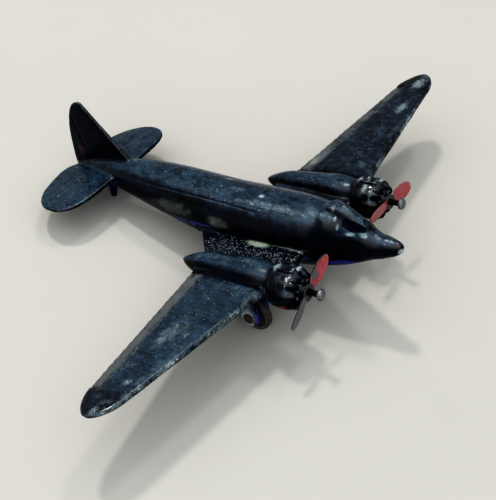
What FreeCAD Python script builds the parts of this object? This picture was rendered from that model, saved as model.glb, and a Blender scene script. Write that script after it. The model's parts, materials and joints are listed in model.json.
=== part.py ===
"""Desktop airliner model: a twin-engined low-wing airliner cast in two zinc pieces.

Every piece is drawn in the level datum of the aircraft, in millimetres: +X forward, +Y to port, +Z up,
the origin on the line between the two engine axes.  One standing placement, the same for every piece,
then tips the model back until its two wheels and its tail skid share the plane Z = 0.
"""
import FreeCAD, Part
import Sketcher
import math
import os
from FreeCAD import Placement, Rotation, Vector

doc = FreeCAD.newDocument("airliner")

# ---------------------------------------------------------------- driving dimensions (mm, degrees)
SIZES = {
    # stance on the table
    "ground_angle": 14.0,
    # hull of the fuselage
    "nose_x": 30.2,
    "hull_length": 93.2,
    "hull_width": 15.0,
    "hull_height": 16.2,
    # saddle where the wing casting meets the fuselage casting
    "saddle_ahead": 1.0,
    "saddle_behind": 0.4,
    "saddle_level": 1.6,
    # cockpit
    "cockpit_roof_level": 10.6,
    "cockpit_half_width": 5.6,
    "windscreen_top_x": 17.6,
    "windscreen_foot_x": 23.4,
    # wing
    "half_span": 66.0,
    "root_leading_x": 10.0,
    "root_trailing_x": -20.4,
    "panel_leading_x": 9.4,
    "panel_trailing_x": -11.5,
    "tip_leading_x": 4.3,
    "tip_trailing_x": -3.2,
    "root_thickness": 2.9,
    "tip_thickness": 1.5,
    "dihedral_rise": 3.8,
    "tip_round": 6.5,
    # nacelles and cowlings
    "engine_offset": 16.8,
    "nacelle_radius": 3.9,
    "nacelle_tail_x": -16.8,
    "cowl_rear_x": 9.4,
    "cowl_front_x": 16.0,
    "cowl_radius": 4.8,
    "cowl_lip": 0.124,
    "cowl_mouth_depth": 0.7,
    "boss_radius": 1.35,
    "boss_front_x": 16.8,
    "cylinder_count": 9,
    "cylinder_radius": 0.42,
    "scoop_radius": 1.1,
    "scoop_length": 4.6,
    # tail
    "stabiliser_half_span": 19.7,
    "stabiliser_level": 7.2,
    "stabiliser_thickness": 1.5,
    "stabiliser_chord": 16.6,
    "fin_height": 18.6,
    "fin_base_level": 7.0,
    "fin_chord": 23.3,
    "fin_thickness": 1.5,
    "skid_setback": 8.6,
    "skid_foot_radius": 0.7,
    "skid_root_radius": 1.5,
    "skid_root_level": 4.76,
    # landing gear
    "axle_x": 0.5,
    "axle_level": -10.5,
    "leg_rake": 14.0,
    "lug_width": 4.7,
    "lug_thickness": 1.2,
    "lug_height": 9.0,
    "wheel_radius": 4.35,
    "wheel_width": 1.9,
    "wheel_side_gap": 0.15,
    "wheel_hub_radius": 1.7,
    "wheel_rim": 1.0,
    "axle_radius": 0.8,
    "axle_head_radius": 1.3,
    "axle_head_height": 0.4,
    # propellers and their pins
    "propeller_radius": 8.9,
    "propeller_gap": 0.15,
    "propeller_thickness": 0.6,
    "propeller_hub_radius": 1.7,
    "blade_width": 3.4,
    "blade_pitch": 14.0,
    "blade_root_inset": 0.35,
    "left_propeller_turn": -96.0,
    "right_propeller_turn": -64.0,
    "pin_radius": 0.65,
    "pin_depth": 7.0,
    "pin_float": 2.4,
    "pin_head_radius": 1.3,
    "pin_head_height": 0.9,
    "running_clearance": 0.06,
    # rivets that hold the wing to the fuselage
    "rivet_front_x": 6.0,
    "rivet_rear_x": -14.0,
    "rivet_radius": 1.1,
    "rivet_head_radius": 2.0,
    "rivet_head_height": 0.7,
    "rivet_seat_level": -4.6,
    "rivet_reach": 3.5,
    "rivet_seat_gap": 0.15,
}

sheet = doc.addObject("Spreadsheet::Sheet", "Sizes")
for row, (alias, value) in enumerate(SIZES.items(), start=1):
    sheet.set("A%d" % row, alias)
    sheet.set("B%d" % row, str(value))
    sheet.setAlias("B%d" % row, alias)
doc.recompute()


def size(alias):
    """Gives the value of one cell of the sheet."""
    return float(getattr(sheet, alias))


def value(expression):
    """Evaluates an expression of sheet cells."""
    return float(sheet.evalExpression(str(expression)))


# ---------------------------------------------------------------- places
TURN_ABOUT_Y = "rotation(vector(0; 1; 0); %s)"
stance = doc.addObject("Spreadsheet::Sheet", "Stance")
stance.set("A1", "centre_shift")
stance.set("B1", "0")
stance.setAlias("B1", "centre_shift")
doc.recompute()
STANDING_RISE = ("Sizes.wheel_radius - Sizes.axle_x * sin(Sizes.ground_angle * 1deg)"
                 " - Sizes.axle_level * cos(Sizes.ground_angle * 1deg)")
STAND = "placement(vector(Stance.centre_shift; 0; %s); %s)" % (STANDING_RISE, TURN_ABOUT_Y % "-Sizes.ground_angle")
ALONG_X = "placement(vector(%s; %s; %s); rotation(vector(0; 1; 0); 90))"
ALONG_Y = "placement(vector(%s; %s; %s); rotation(vector(1; 0; 0); -90))"
SIDES = {"left": "Sizes.engine_offset", "right": "-Sizes.engine_offset"}
nodes = []


def finish(feature, label, spot=None):
    """Names a sub-part, stands it with the rest of the aircraft and lists it as a node."""
    feature.Label = label
    feature.setExpression("Placement", STAND if spot is None else STAND + " * " + spot)
    nodes.append(feature)
    return feature


# ---------------------------------------------------------------- small builders
def cylinder(name, radius, height, spot):
    """Adds a cylinder whose axis starts at the given spot."""
    solid = doc.addObject("Part::Cylinder", name)
    solid.setExpression("Radius", radius)
    solid.setExpression("Height", height)
    solid.setExpression("Placement", spot)
    return solid


def box(name, length, width, height, spot):
    """Adds a box whose lowest corner is at the given spot."""
    solid = doc.addObject("Part::Box", name)
    solid.setExpression("Length", length)
    solid.setExpression("Width", width)
    solid.setExpression("Height", height)
    solid.setExpression("Placement", spot)
    return solid


def fuse(name, solids):
    """Joins solids into one, each to what is joined so far."""
    whole = solids[0]
    for number, solid in enumerate(solids[1:], start=1):
        joint = doc.addObject("Part::Fuse", "%s_%d" % (name, number))
        joint.Base = whole
        joint.Tool = solid
        whole = joint
    return whole


def cut(name, base, tool):
    """Takes one solid from another."""
    rest = doc.addObject("Part::Cut", name)
    rest.Base = base
    rest.Tool = tool
    return rest


def ring(name, x, y, z, half_height, half_width):
    """Adds an upright elliptical section across the X axis."""
    section = doc.addObject("Part::Ellipse", name)
    section.setExpression("MajorRadius", half_height)
    section.setExpression("MinorRadius", half_width)
    section.setExpression("Placement", "placement(vector(%s; %s; %s); rotation(vector(0; 1; 0); -90))" % (x, y, z))
    return section


def loft(name, sections):
    """Runs a smooth solid through sections."""
    solid = doc.addObject("Part::Loft", name)
    solid.Sections = sections
    solid.Solid = True
    solid.Ruled = False
    return solid


def origin_of(body, role):
    """Finds one of a body's own origin planes or axes."""
    return next(item for item in body.Origin.OriginFeatures if item.Role == role)


def outline(body, name, role, corners, distance=None):
    """Draws a closed polygon on an origin plane of a body, each corner bound to the sheet."""
    sketch = body.newObject("Sketcher::SketchObject", name)
    sketch.AttachmentSupport = (origin_of(body, role), [""])
    sketch.MapMode = "FlatFace"
    if distance is not None:
        sketch.setExpression("AttachmentOffset.Base.z", distance)
    points = [Vector(value(across), value(up), 0) for across, up in corners]
    for start, end in zip(points, points[1:] + points[:1]):
        sketch.addGeometry(Part.LineSegment(start, end), False)
    for index, (across, up) in enumerate(corners):
        sketch.addConstraint(Sketcher.Constraint("Coincident", index - 1 if index else len(corners) - 1, 2, index, 1))
        for kind, axis, expression, now in (("DistanceX", -2, across, points[index].x),
                                            ("DistanceY", -1, up, points[index].y)):
            if expression == "0":
                sketch.addConstraint(Sketcher.Constraint("PointOnObject", index, 1, axis))
            else:
                number = sketch.addConstraint(Sketcher.Constraint(kind, -1, 1, index, 1, now))
                sketch.setExpression("Constraints[%d]" % number, expression)
    doc.recompute()
    return sketch


def turned(name, corners):
    """Makes a body by turning a profile, given as (along, radius) corners, about its own X axis."""
    body = doc.addObject("PartDesign::Body", name)
    profile = outline(body, name + "_profile", "XZ_Plane", corners)
    turn = body.newObject("PartDesign::Revolution", name + "_turn")
    turn.Profile = profile
    turn.ReferenceAxis = (profile, ["H_Axis"])
    turn.Angle = 360
    doc.recompute()
    return body


def round_rims(body, name, rims, radius):
    """Rounds the circular edges of a turned body that lie at the given (along, radius) places."""
    base = body.Tip
    places = [(value(along), value(reach)) for along, reach in rims]
    names = []
    for number, edge in enumerate(base.Shape.Edges, start=1):
        if not isinstance(edge.Curve, Part.Circle):
            continue
        centre = edge.Curve.Center
        if any(abs(centre.x - x) < 0.01 and abs(edge.Curve.Radius - r) < 0.01 for x, r in places):
            names.append("Edge%d" % number)
    rounding = body.newObject("PartDesign::Fillet", name)
    rounding.Base = (base, names)
    rounding.setExpression("Radius", radius)
    doc.recompute()
    return rounding


# ---------------------------------------------------------------- aerofoil members
CREST_SHARE = 0.36
LEADING_SHARE = 0.40
TRAILING_SHARE = 0.24
BELLY_SHARE = 0.85


def section_wire(spot, span, lead, trail, middle, thickness):
    """Draws a blunt aerofoil section of four arcs, its points placed by the function spot."""
    nose = LEADING_SHARE * thickness
    tail = min(TRAILING_SHARE * thickness, 0.2 * (lead - trail))
    nose = min(nose, 0.3 * (lead - trail))
    crest = lead - CREST_SHARE * (lead - trail)
    top = [spot(span, lead - nose, middle + nose),
           spot(span, crest, middle + thickness / 2),
           spot(span, trail + tail, middle + tail)]
    under = [spot(span, trail + tail, middle - tail),
             spot(span, crest, middle - BELLY_SHARE * thickness / 2),
             spot(span, lead - nose, middle - nose)]
    arcs = [Part.Arc(*top), Part.Arc(top[2], spot(span, trail, middle), under[0]),
            Part.Arc(*under), Part.Arc(under[2], spot(span, lead, middle), top[0])]
    return Part.Wire([arc.toShape() for arc in arcs])


def lying(span, along, level):
    """Places a section point of a wing or stabiliser to port."""
    return Vector(along, span, level)


def upright(span, along, across):
    """Places a section point of the fin."""
    return Vector(along, across, span)


def member(name, shape):
    """Adds an aerofoil member whose shape is worked out here."""
    feature = doc.addObject("Part::Feature", name)
    feature.Shape = shape
    return feature


def both_sides(shape):
    """Gives a port shape and its mirror image to starboard."""
    return [shape, shape.mirror(Vector(0, 0, 0), Vector(0, 1, 0))]


def between(start, end, share):
    """Goes a share of the way from one value to another."""
    return start + (end - start) * share


# ---------------------------------------------------------------- hull: share aft of the nose, level,
# height and width, the last three as shares of the hull's height or width
HULL_LINES = (
    (0.000, 0.117, 0.040, 0.040),
    (0.003, 0.117, 0.115, 0.115),
    (0.011, 0.114, 0.185, 0.185),
    (0.027, 0.105, 0.260, 0.260),
    (0.064, 0.090, 0.375, 0.375),
    (0.138, 0.098, 0.700, 0.700),
    (0.245, 0.099, 0.965, 0.965),
    (0.415, 0.105, 1.000, 1.000),
    (0.585, 0.222, 0.880, 0.880),
    (0.734, 0.352, 0.690, 0.690),
    (0.862, 0.414, 0.445, 0.430),
    (0.968, 0.438, 0.230, 0.160),
    (1.000, 0.442, 0.130, 0.090),
)

hull = loft("hull", [
    ring("hull_section_%d" % number,
         "Sizes.nose_x - %s * Sizes.hull_length" % aft, "0", "%s * Sizes.hull_height" % level,
         "%s * Sizes.hull_height / 2" % height, "%s * Sizes.hull_width / 2" % width)
    for number, (aft, level, height, width) in enumerate(HULL_LINES)])

# ---------------------------------------------------------------- cockpit: a roof with a raked V windscreen
cockpit = doc.addObject("PartDesign::Body", "cockpit")
ROOF_SECTIONS = (
    # station, ridge level, shoulder (share of half width, level), side (share of half width, level), foot level
    ("Sizes.windscreen_top_x - 4.9", "Sizes.cockpit_roof_level - 0.8", 0.66, 8.9, 1.00, 5.4, 2.6),
    ("Sizes.windscreen_top_x - 3.1", "Sizes.cockpit_roof_level - 0.4", 0.74, 8.1, 1.00, 5.2, 2.6),
    ("Sizes.windscreen_top_x", "Sizes.cockpit_roof_level", 0.46, 6.9, 0.86, 4.9, 2.4),
    ("Sizes.windscreen_foot_x", "Sizes.cockpit_roof_level - 4.5", 0.23, 5.1, 0.46, 3.8, 1.6),
)
HALF = "Sizes.cockpit_half_width"
roof_sections = []
for number, (station, ridge, shoulder, shoulder_level, side, side_level, foot) in enumerate(ROOF_SECTIONS):
    port = [("%s * %s" % (side, HALF), str(foot)), ("%s * %s" % (side, HALF), str(side_level)),
            ("%s * %s" % (shoulder, HALF), str(shoulder_level))]
    starboard = [("-" + across, level) for across, level in reversed(port)]
    roof_sections.append(outline(cockpit, "cockpit_section_%d" % number, "YZ_Plane",
                                 port + [("0", ridge)] + starboard, station))
roof = cockpit.newObject("PartDesign::AdditiveLoft", "cockpit_roof")
roof.Profile = roof_sections[0]
roof.Sections = roof_sections[1:]
roof.Ruled = True
doc.recompute()

# ---------------------------------------------------------------- tail surfaces
TAIL_X = size("nose_x") - size("hull_length")
STABILISER_LEAD_SHARE = 0.40
STABILISER_AXIS_SETBACK = 8.5
ELEVATOR_NOTCH = 0.24
ELEVATOR_NOTCH_WIDTH = 2.2
TIP_HALF_CHORD = 0.4


def stabiliser_section(share):
    """Gives the section of the port stabiliser at a share of its half span."""
    span = share * size("stabiliser_half_span")
    axis = TAIL_X + STABILISER_AXIS_SETBACK
    ahead = STABILISER_LEAD_SHARE * size("stabiliser_chord") * math.sqrt(1 - share ** 6) + TIP_HALF_CHORD
    notch = 1 - ELEVATOR_NOTCH * math.exp(-(span / ELEVATOR_NOTCH_WIDTH) ** 2)
    behind = (1 - STABILISER_LEAD_SHARE) * size("stabiliser_chord") * math.sqrt(1 - share ** 2.6) * notch
    behind += TIP_HALF_CHORD
    thickness = size("stabiliser_thickness") * (1 - 0.35 * share ** 4)
    return section_wire(lying, span, axis + ahead, axis - behind, size("stabiliser_level"), thickness)


stabiliser = Part.makeLoft([stabiliser_section(share) for share in
                            (0, 0.12, 0.25, 0.42, 0.58, 0.72, 0.83, 0.91, 0.96, 0.99, 0.998)], True, False)
stabilisers = [member("%s_stabiliser" % side, shape) for side, shape in zip(SIDES, both_sides(stabiliser))]

FIN_LEADING_SWEEP = 0.775
FIN_TOP_CHORD = 1.2
RUDDER_OVERHANG = 0.9


def fin_section(share):
    """Gives the section of the fin and rudder at a share of its height."""
    level = size("fin_base_level") + share * size("fin_height")
    foot_lead = TAIL_X - RUDDER_OVERHANG + size("fin_chord")
    lead = foot_lead - FIN_LEADING_SWEEP * share * size("fin_height")
    top_trail = foot_lead - FIN_LEADING_SWEEP * size("fin_height") - FIN_TOP_CHORD
    bulge = top_trail - (TAIL_X - RUDDER_OVERHANG)
    trail = top_trail - bulge * math.sqrt(max(0.0, 1 - share ** 1.6))
    thickness = size("fin_thickness") * (1 - 0.3 * share ** 3)
    return section_wire(upright, level, lead, trail, 0, thickness)


fin = member("fin", Part.makeLoft([fin_section(share) for share in
                                   (0, 0.2, 0.4, 0.58, 0.73, 0.85, 0.93, 0.975, 1.0)], True, False))

# the skid stands on the table, square to it, and runs up into the hull
SKID_FOOT_X = "(Sizes.nose_x - Sizes.hull_length + Sizes.skid_setback)"
SKID_FOOT_LEVEL = "(-(%s) - %s * sin(Sizes.ground_angle * 1deg)) / cos(Sizes.ground_angle * 1deg)" % (
    STANDING_RISE, SKID_FOOT_X)
skid = doc.addObject("Part::Cone", "skid")
skid.setExpression("Radius1", "Sizes.skid_foot_radius")
skid.setExpression("Radius2", "Sizes.skid_root_radius")
skid.setExpression("Height", "(Sizes.skid_root_level - %s) / cos(Sizes.ground_angle * 1deg)" % SKID_FOOT_LEVEL)
skid.setExpression("Placement", "placement(vector(%s; 0; %s); %s)" % (
    SKID_FOOT_X, SKID_FOOT_LEVEL, TURN_ABOUT_Y % "Sizes.ground_angle"))

# ---------------------------------------------------------------- saddle and rivets
DEEP = 40.0
SADDLE_REAR = "(Sizes.root_trailing_x - Sizes.saddle_behind)"
saddle = box("saddle", "Sizes.root_leading_x + Sizes.saddle_ahead - %s" % SADDLE_REAR, str(DEEP), str(DEEP),
             "placement(vector(%s; %s; Sizes.saddle_level - %s); rotation(vector(0; 0; 1); 0))"
             % (SADDLE_REAR, -DEEP / 2, DEEP))
RIVETS = {"front": "Sizes.rivet_front_x", "rear": "Sizes.rivet_rear_x"}
UPWARDS = "placement(vector(%s; 0; %s); rotation(vector(0; 0; 1); 0))"
RIVET_LENGTH = "Sizes.saddle_level + Sizes.rivet_reach - Sizes.rivet_seat_level"


def rivet_bores(piece):
    """Makes the two bores that the rivets are driven into, for one of the two castings."""
    return [cylinder("%s_%s_rivet_bore" % (piece, end), "Sizes.rivet_radius", RIVET_LENGTH,
                     UPWARDS % (x, "Sizes.rivet_seat_level")) for end, x in RIVETS.items()]


fuselage_whole = fuse("fuselage_whole", [hull, cockpit, fin, skid] + stabilisers)
fuselage_seated = cut("fuselage_seated", fuselage_whole, saddle)
fuselage = finish(cut("fuselage_drilled", fuselage_seated, fuse("fuselage_bores", rivet_bores("fuselage"))),
                  "fuselage")

# ---------------------------------------------------------------- wing casting
SADDLE_CLEARANCE = 0.05
WING_MIDDLE = size("saddle_level") - size("root_thickness") / 2 - SADDLE_CLEARANCE
# share of the way out to the engine, share of the full flare
ROOT_FLARE = ((0.0, 1.0), (0.30, 1.0), (0.45, 0.78), (0.60, 0.53), (0.77, 0.23), (0.95, 0.03), (1.05, 0.0))


def centre_section(reach, flare):
    """Gives a section of the centre wing, its trailing edge flared towards the fuselage."""
    offset = reach * size("engine_offset")
    trail = between(size("panel_trailing_x"), size("root_trailing_x"), flare)
    lead = between(size("panel_leading_x"), size("root_leading_x"), flare)
    return section_wire(lying, offset, lead, trail, WING_MIDDLE, size("root_thickness"))


centre_half = Part.makeLoft([centre_section(reach, flare) for reach, flare in ROOT_FLARE], True, False)
centre = [member("%s_centre" % side, shape) for side, shape in zip(SIDES, both_sides(centre_half))]

PANEL_ROOT_INSET = 0.6


def panel_section(offset, shrink=1.0):
    """Gives a section of the outer panel; towards the rounded tip its chord shrinks."""
    root = size("engine_offset")
    share = (offset - root) / (size("half_span") - root)
    lead = between(size("panel_leading_x"), size("tip_leading_x"), share)
    trail = between(size("panel_trailing_x"), size("tip_trailing_x"), share)
    middle = WING_MIDDLE + size("dihedral_rise") * share
    thickness = between(size("root_thickness"), size("tip_thickness"), share) * (0.5 + 0.5 * shrink)
    centre_x = (size("tip_leading_x") + size("tip_trailing_x")) / 2
    return section_wire(lying, offset, between(centre_x, lead, shrink), between(centre_x, trail, shrink),
                        middle, thickness)


tip_start = size("half_span") - size("tip_round")
panel = Part.makeLoft([panel_section(size("engine_offset") - PANEL_ROOT_INSET), panel_section(tip_start)],
                      True, True)
tip = Part.makeLoft([panel_section(tip_start + size("tip_round") * math.sin(math.radians(angle)),
                                   math.cos(math.radians(angle)))
                     for angle in (0, 20, 38, 53, 66, 76, 82)], True, False)
panels = [member("%s_panel" % side, shape) for side, shape in zip(SIDES, both_sides(panel))]
tips = [member("%s_tip" % side, shape) for side, shape in zip(SIDES, both_sides(tip))]

# nacelle and cowling outlines: share of the length aft of the front end, radius as a share of the largest
NACELLE_LINES = ((0.0, 1.04), (0.15, 1.04), (0.40, 1.0), (0.62, 0.87), (0.77, 0.73), (0.90, 0.44), (0.97, 0.20),
                 (1.0, 0.03))
COWL_LINES = ((0.0, 0.63), (0.03, 0.72), (0.11, 0.85), (0.28, 0.96), (0.58, 1.0), (0.86, 0.97), (0.97, 0.91),
              (1.0, 0.86))


BOSS_LENGTH = "(Sizes.boss_front_x - Sizes.cowl_front_x + Sizes.cowl_mouth_depth + 1.5)"
MOUTH_RADIUS = "(%s * Sizes.cowl_radius - Sizes.cowl_lip)" % COWL_LINES[0][1]
CYLINDER_BEDDING = 0.3
SCOOP_SETBACK = 0.6
SCOOP_SINK_SHARE = 0.5


def pod(name, lines, front, rear, radius, offset):
    """Makes a round pod along the X axis."""
    return loft(name, [ring("%s_section_%d" % (name, number), "%s - %s * (%s - %s)" % (front, aft, front, rear),
                            offset, "0", "%s * %s" % (share, radius), "%s * %s" % (share, radius))
                       for number, (aft, share) in enumerate(lines)])


def engine(side, offset):
    """Makes one engine: nacelle, cowling with its intake scoop, cylinders in the mouth and the boss."""
    nacelle = pod("%s_nacelle" % side, NACELLE_LINES, "Sizes.cowl_rear_x + 1", "Sizes.nacelle_tail_x",
                  "Sizes.nacelle_radius", offset)
    drum = pod("%s_drum" % side, COWL_LINES, "Sizes.cowl_front_x", "Sizes.cowl_rear_x", "Sizes.cowl_radius", offset)
    mouth = cylinder("%s_mouth" % side, MOUTH_RADIUS, "Sizes.cowl_mouth_depth + 1",
                     ALONG_X % ("Sizes.cowl_front_x - Sizes.cowl_mouth_depth", offset, "0"))
    cowling = cut("%s_cowling" % side, drum, mouth)
    boss = cylinder("%s_boss" % side, "Sizes.boss_radius", BOSS_LENGTH,
                    ALONG_X % ("Sizes.boss_front_x - " + BOSS_LENGTH, offset, "0"))
    scoop = doc.addObject("Part::Ellipsoid", "%s_scoop" % side)
    scoop.setExpression("Radius1", "Sizes.scoop_radius")
    scoop.setExpression("Radius2", "Sizes.scoop_length / 2")
    scoop.setExpression("Radius3", "Sizes.scoop_radius")
    scoop.setExpression("Placement", "placement(vector(Sizes.cowl_rear_x + Sizes.scoop_length / 2 + %s; %s; "
                        "Sizes.cowl_radius - %s * Sizes.scoop_radius); rotation(vector(0; 0; 1); 0))"
                        % (SCOOP_SETBACK, offset, SCOOP_SINK_SHARE))
    cylinders = []
    for number in range(int(size("cylinder_count"))):
        angle = number * 360.0 / size("cylinder_count")
        cylinders.append(cylinder("%s_cylinder_%d" % (side, number + 1), "Sizes.cylinder_radius",
                                  "%s + %s" % (MOUTH_RADIUS, CYLINDER_BEDDING),
                                  "placement(vector(Sizes.cowl_front_x - Sizes.cowl_mouth_depth; %s; 0); "
                                  "rotation(vector(1; 0; 0); %s))" % (offset, angle)))
    return [nacelle, cowling, boss, scoop] + cylinders


LUG_GAP = "(Sizes.wheel_width / 2 + Sizes.wheel_side_gap)"
LUG_REACH = "(%s + Sizes.lug_thickness)" % LUG_GAP
GEAR = "placement(vector(Sizes.axle_x; %s; Sizes.axle_level); " + TURN_ABOUT_Y % "Sizes.leg_rake" + ")"


def landing_leg(side, offset):
    """Makes the fork of one wheel: two lugs with round ends, square to the table."""
    lugs = []
    for face, start in (("outer", LUG_GAP), ("inner", "-" + LUG_REACH)):
        name = "%s_%s_lug" % (side, face)
        plate = box(name, "Sizes.lug_width", "Sizes.lug_thickness", "Sizes.lug_height", "%s * placement(vector("
                    "-Sizes.lug_width / 2; %s; 0); rotation(vector(0; 0; 1); 0))" % (GEAR % offset, start))
        end = cylinder(name + "_end", "Sizes.lug_width / 2", "Sizes.lug_thickness",
                       "%s * %s" % (GEAR % offset, ALONG_Y % ("0", start, "0")))
        lugs += [plate, end]
    return lugs


belly = doc.addObject("Part::Common", "belly")
belly.Base = hull
belly.Tool = saddle
wing_parts = [belly] + centre + panels + tips
wing_bores = rivet_bores("wing")
for end, x in RIVETS.items():
    wing_bores.append(cylinder("%s_rivet_seat" % end, "Sizes.rivet_head_radius + Sizes.rivet_seat_gap", str(DEEP),
                               UPWARDS % (x, "Sizes.rivet_seat_level - %s" % DEEP)))
for side, offset in SIDES.items():
    wing_parts += engine(side, offset) + landing_leg(side, offset)
    wing_bores.append(cylinder("%s_pin_bore" % side, "Sizes.pin_radius", "Sizes.pin_depth + 1",
                               ALONG_X % ("Sizes.boss_front_x - Sizes.pin_depth", offset, "0")))
    wing_bores.append(cylinder("%s_axle_bore" % side, "Sizes.axle_radius", "2 * %s" % LUG_REACH,
                               "%s * %s" % (GEAR % offset, ALONG_Y % ("0", "-" + LUG_REACH, "0"))))
wing = finish(cut("wing_drilled", fuse("wing_whole", wing_parts), fuse("wing_bores", wing_bores)), "wing")

# ---------------------------------------------------------------- rivets
for end, x in RIVETS.items():
    rivet = turned("%s_rivet_body" % end, [
        ("-Sizes.rivet_head_height", "0"), ("-Sizes.rivet_head_height", "Sizes.rivet_head_radius"),
        ("0", "Sizes.rivet_head_radius"), ("0", "Sizes.rivet_radius"),
        (RIVET_LENGTH, "Sizes.rivet_radius"), (RIVET_LENGTH, "0")])
    round_rims(rivet, "%s_rivet_dome" % end, [("-Sizes.rivet_head_height", "Sizes.rivet_head_radius")],
               "0.75 * Sizes.rivet_head_height")
    finish(rivet, "%s_rivet" % end, "placement(vector(%s; 0; Sizes.rivet_seat_level); %s)" % (
        x, TURN_ABOUT_Y % "-90"))

# ---------------------------------------------------------------- propellers, their pins, wheels and axles
PROPELLER_X = "Sizes.boss_front_x + Sizes.propeller_gap"
PIN_REACH = "Sizes.propeller_gap + Sizes.propeller_thickness + Sizes.pin_float"


def propeller(side, offset):
    """Stamps one two-bladed propeller: a hub disc and two oval blades twisted opposite ways."""
    root = "(Sizes.propeller_hub_radius - Sizes.blade_root_inset)"
    half_blade = "((Sizes.propeller_radius - %s) / 2)" % root
    parts = [cylinder("%s_hub" % side, "Sizes.propeller_hub_radius", "Sizes.propeller_thickness",
                      ALONG_X % ("0", "0", "0"))]
    for name, flip in (("upper", "0"), ("lower", "180")):
        oval = doc.addObject("Part::Ellipse", "%s_%s_oval" % (side, name))
        oval.setExpression("MajorRadius", half_blade)
        oval.setExpression("MinorRadius", "Sizes.blade_width / 2")
        blade = doc.addObject("Part::Extrusion", "%s_%s_blade" % (side, name))
        blade.Base = oval
        blade.DirMode = "Custom"
        blade.Dir = Vector(0, 0, 1)
        blade.setExpression("LengthFwd", "Sizes.propeller_thickness")
        blade.Symmetric = True
        blade.Solid = True
        blade.setExpression("Placement", (
            "placement(vector(Sizes.propeller_thickness / 2; 0; 0); rotation(vector(1; 0; 0); %s)) * "
            "placement(vector(0; 0; %s); rotation(vector(0; 0; 1); -Sizes.blade_pitch)) * "
            "placement(vector(0; 0; 0); rotation(vector(0; 1; 0); -90))") % (flip, "%s + %s" % (root, half_blade)))
        parts.append(blade)
    hole = cylinder("%s_propeller_bore" % side, "Sizes.pin_radius + Sizes.running_clearance", "4",
                    ALONG_X % ("-2", "0", "0"))
    finish(cut("%s_propeller_cut" % side, fuse("%s_propeller_whole" % side, parts), hole), "%s_propeller" % side,
           "placement(vector(%s; %s; 0); rotation(vector(1; 0; 0); Sizes.%s_propeller_turn))" % (
               PROPELLER_X, offset, side))


def propeller_pin(side, offset):
    """Turns the mushroom-headed pin that a propeller spins on."""
    point = "0.45 * Sizes.pin_radius"
    head = "%s + Sizes.pin_head_height" % PIN_REACH
    pin = turned("%s_pin" % side, [
        ("-Sizes.pin_depth", "0"), ("-Sizes.pin_depth", point), ("-Sizes.pin_depth + Sizes.pin_radius", "Sizes.pin_radius"),
        (PIN_REACH, "Sizes.pin_radius"), (PIN_REACH, "Sizes.pin_head_radius"), (head, "Sizes.pin_head_radius"),
        (head, "0")])
    round_rims(pin, "%s_pin_dome" % side, [(head, "Sizes.pin_head_radius")], "0.7 * Sizes.pin_head_height")
    finish(pin, "%s_propeller_pin" % side,
           "placement(vector(Sizes.boss_front_x; %s; 0); rotation(vector(1; 0; 0); 0))" % offset)


CROSSWISE = " * placement(vector(0; 0; 0); rotation(vector(0; 0; 1); 90))"


def wheel(side, offset):
    """Turns one wheel: a rounded rim, a dished web and a raised hub round the bore."""
    half = "Sizes.wheel_width / 2"
    bore = "Sizes.axle_radius + Sizes.running_clearance"
    hub_face = "0.85 * %s" % half
    web_face = "0.55 * %s" % half
    near = [(hub_face, bore), (hub_face, "Sizes.wheel_hub_radius"), (web_face, "Sizes.wheel_hub_radius + 0.3"),
            (web_face, "Sizes.wheel_radius - Sizes.wheel_rim - 0.3"), (half, "Sizes.wheel_radius - Sizes.wheel_rim"),
            (half, "Sizes.wheel_radius")]
    far = [("-" + along, reach) for along, reach in reversed(near)]
    disc = turned("%s_wheel_body" % side, near + far)
    round_rims(disc, "%s_wheel_tread" % side, [(half, "Sizes.wheel_radius"), ("-" + half, "Sizes.wheel_radius")],
               "0.3 * Sizes.wheel_width")
    finish(disc, "%s_wheel" % side, GEAR % offset + CROSSWISE)


def axle(side, offset):
    """Turns one axle, peened over at both ends outside the lugs."""
    end = "%s + Sizes.axle_head_height" % LUG_REACH
    start = "-%s - Sizes.axle_head_height" % LUG_REACH
    bar = turned("%s_axle_body" % side, [
        (start, "0"), (start, "Sizes.axle_head_radius"), ("-" + LUG_REACH, "Sizes.axle_head_radius"),
        ("-" + LUG_REACH, "Sizes.axle_radius"), (LUG_REACH, "Sizes.axle_radius"),
        (LUG_REACH, "Sizes.axle_head_radius"), (end, "Sizes.axle_head_radius"), (end, "0")])
    round_rims(bar, "%s_axle_peening" % side, [(start, "Sizes.axle_head_radius"), (end, "Sizes.axle_head_radius")],
               "0.7 * Sizes.axle_head_height")
    finish(bar, "%s_axle" % side, GEAR % offset + CROSSWISE)


for side, offset in SIDES.items():
    propeller(side, offset)
    propeller_pin(side, offset)
    wheel(side, offset)
    axle(side, offset)

# ---------------------------------------------------------------- centre the origin, check and write
doc.recompute()
extent = FreeCAD.BoundBox()
for node in nodes:
    extent.add(node.Shape.optimalBoundingBox(False))
stance.set("B1", str(round(-extent.Center.x, 3)))
doc.recompute()

print("centre shift %s mm, standing rise %.3f mm" % (stance.get("B1"), value(STANDING_RISE)))

for item in doc.Objects:
    if "Invalid" in item.State or "Error" in item.State:
        raise RuntimeError("%s failed: %s" % (item.Name, item.State))
os.makedirs("parts", exist_ok=True)
for node in nodes:
    if node.Shape.isNull() or not node.Shape.isValid() or not node.Shape.Solids:
        raise RuntimeError("%s has no valid solid" % node.Label)
    node.Shape.exportStep("parts/%s.step" % node.Label)
    print("%-22s %d solid(s) %9.2f mm3" % (node.Label, len(node.Shape.Solids), node.Shape.Volume))
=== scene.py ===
"""Looks of the desktop airliner model: two painted castings, stamped propellers, wheels and their pins."""
import json
import logging
import math
from dataclasses import dataclass
from enum import Enum
from typing import Callable, Iterable, Sequence

import bmesh
import bpy
import numpy as np
from mathutils import Matrix


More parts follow.
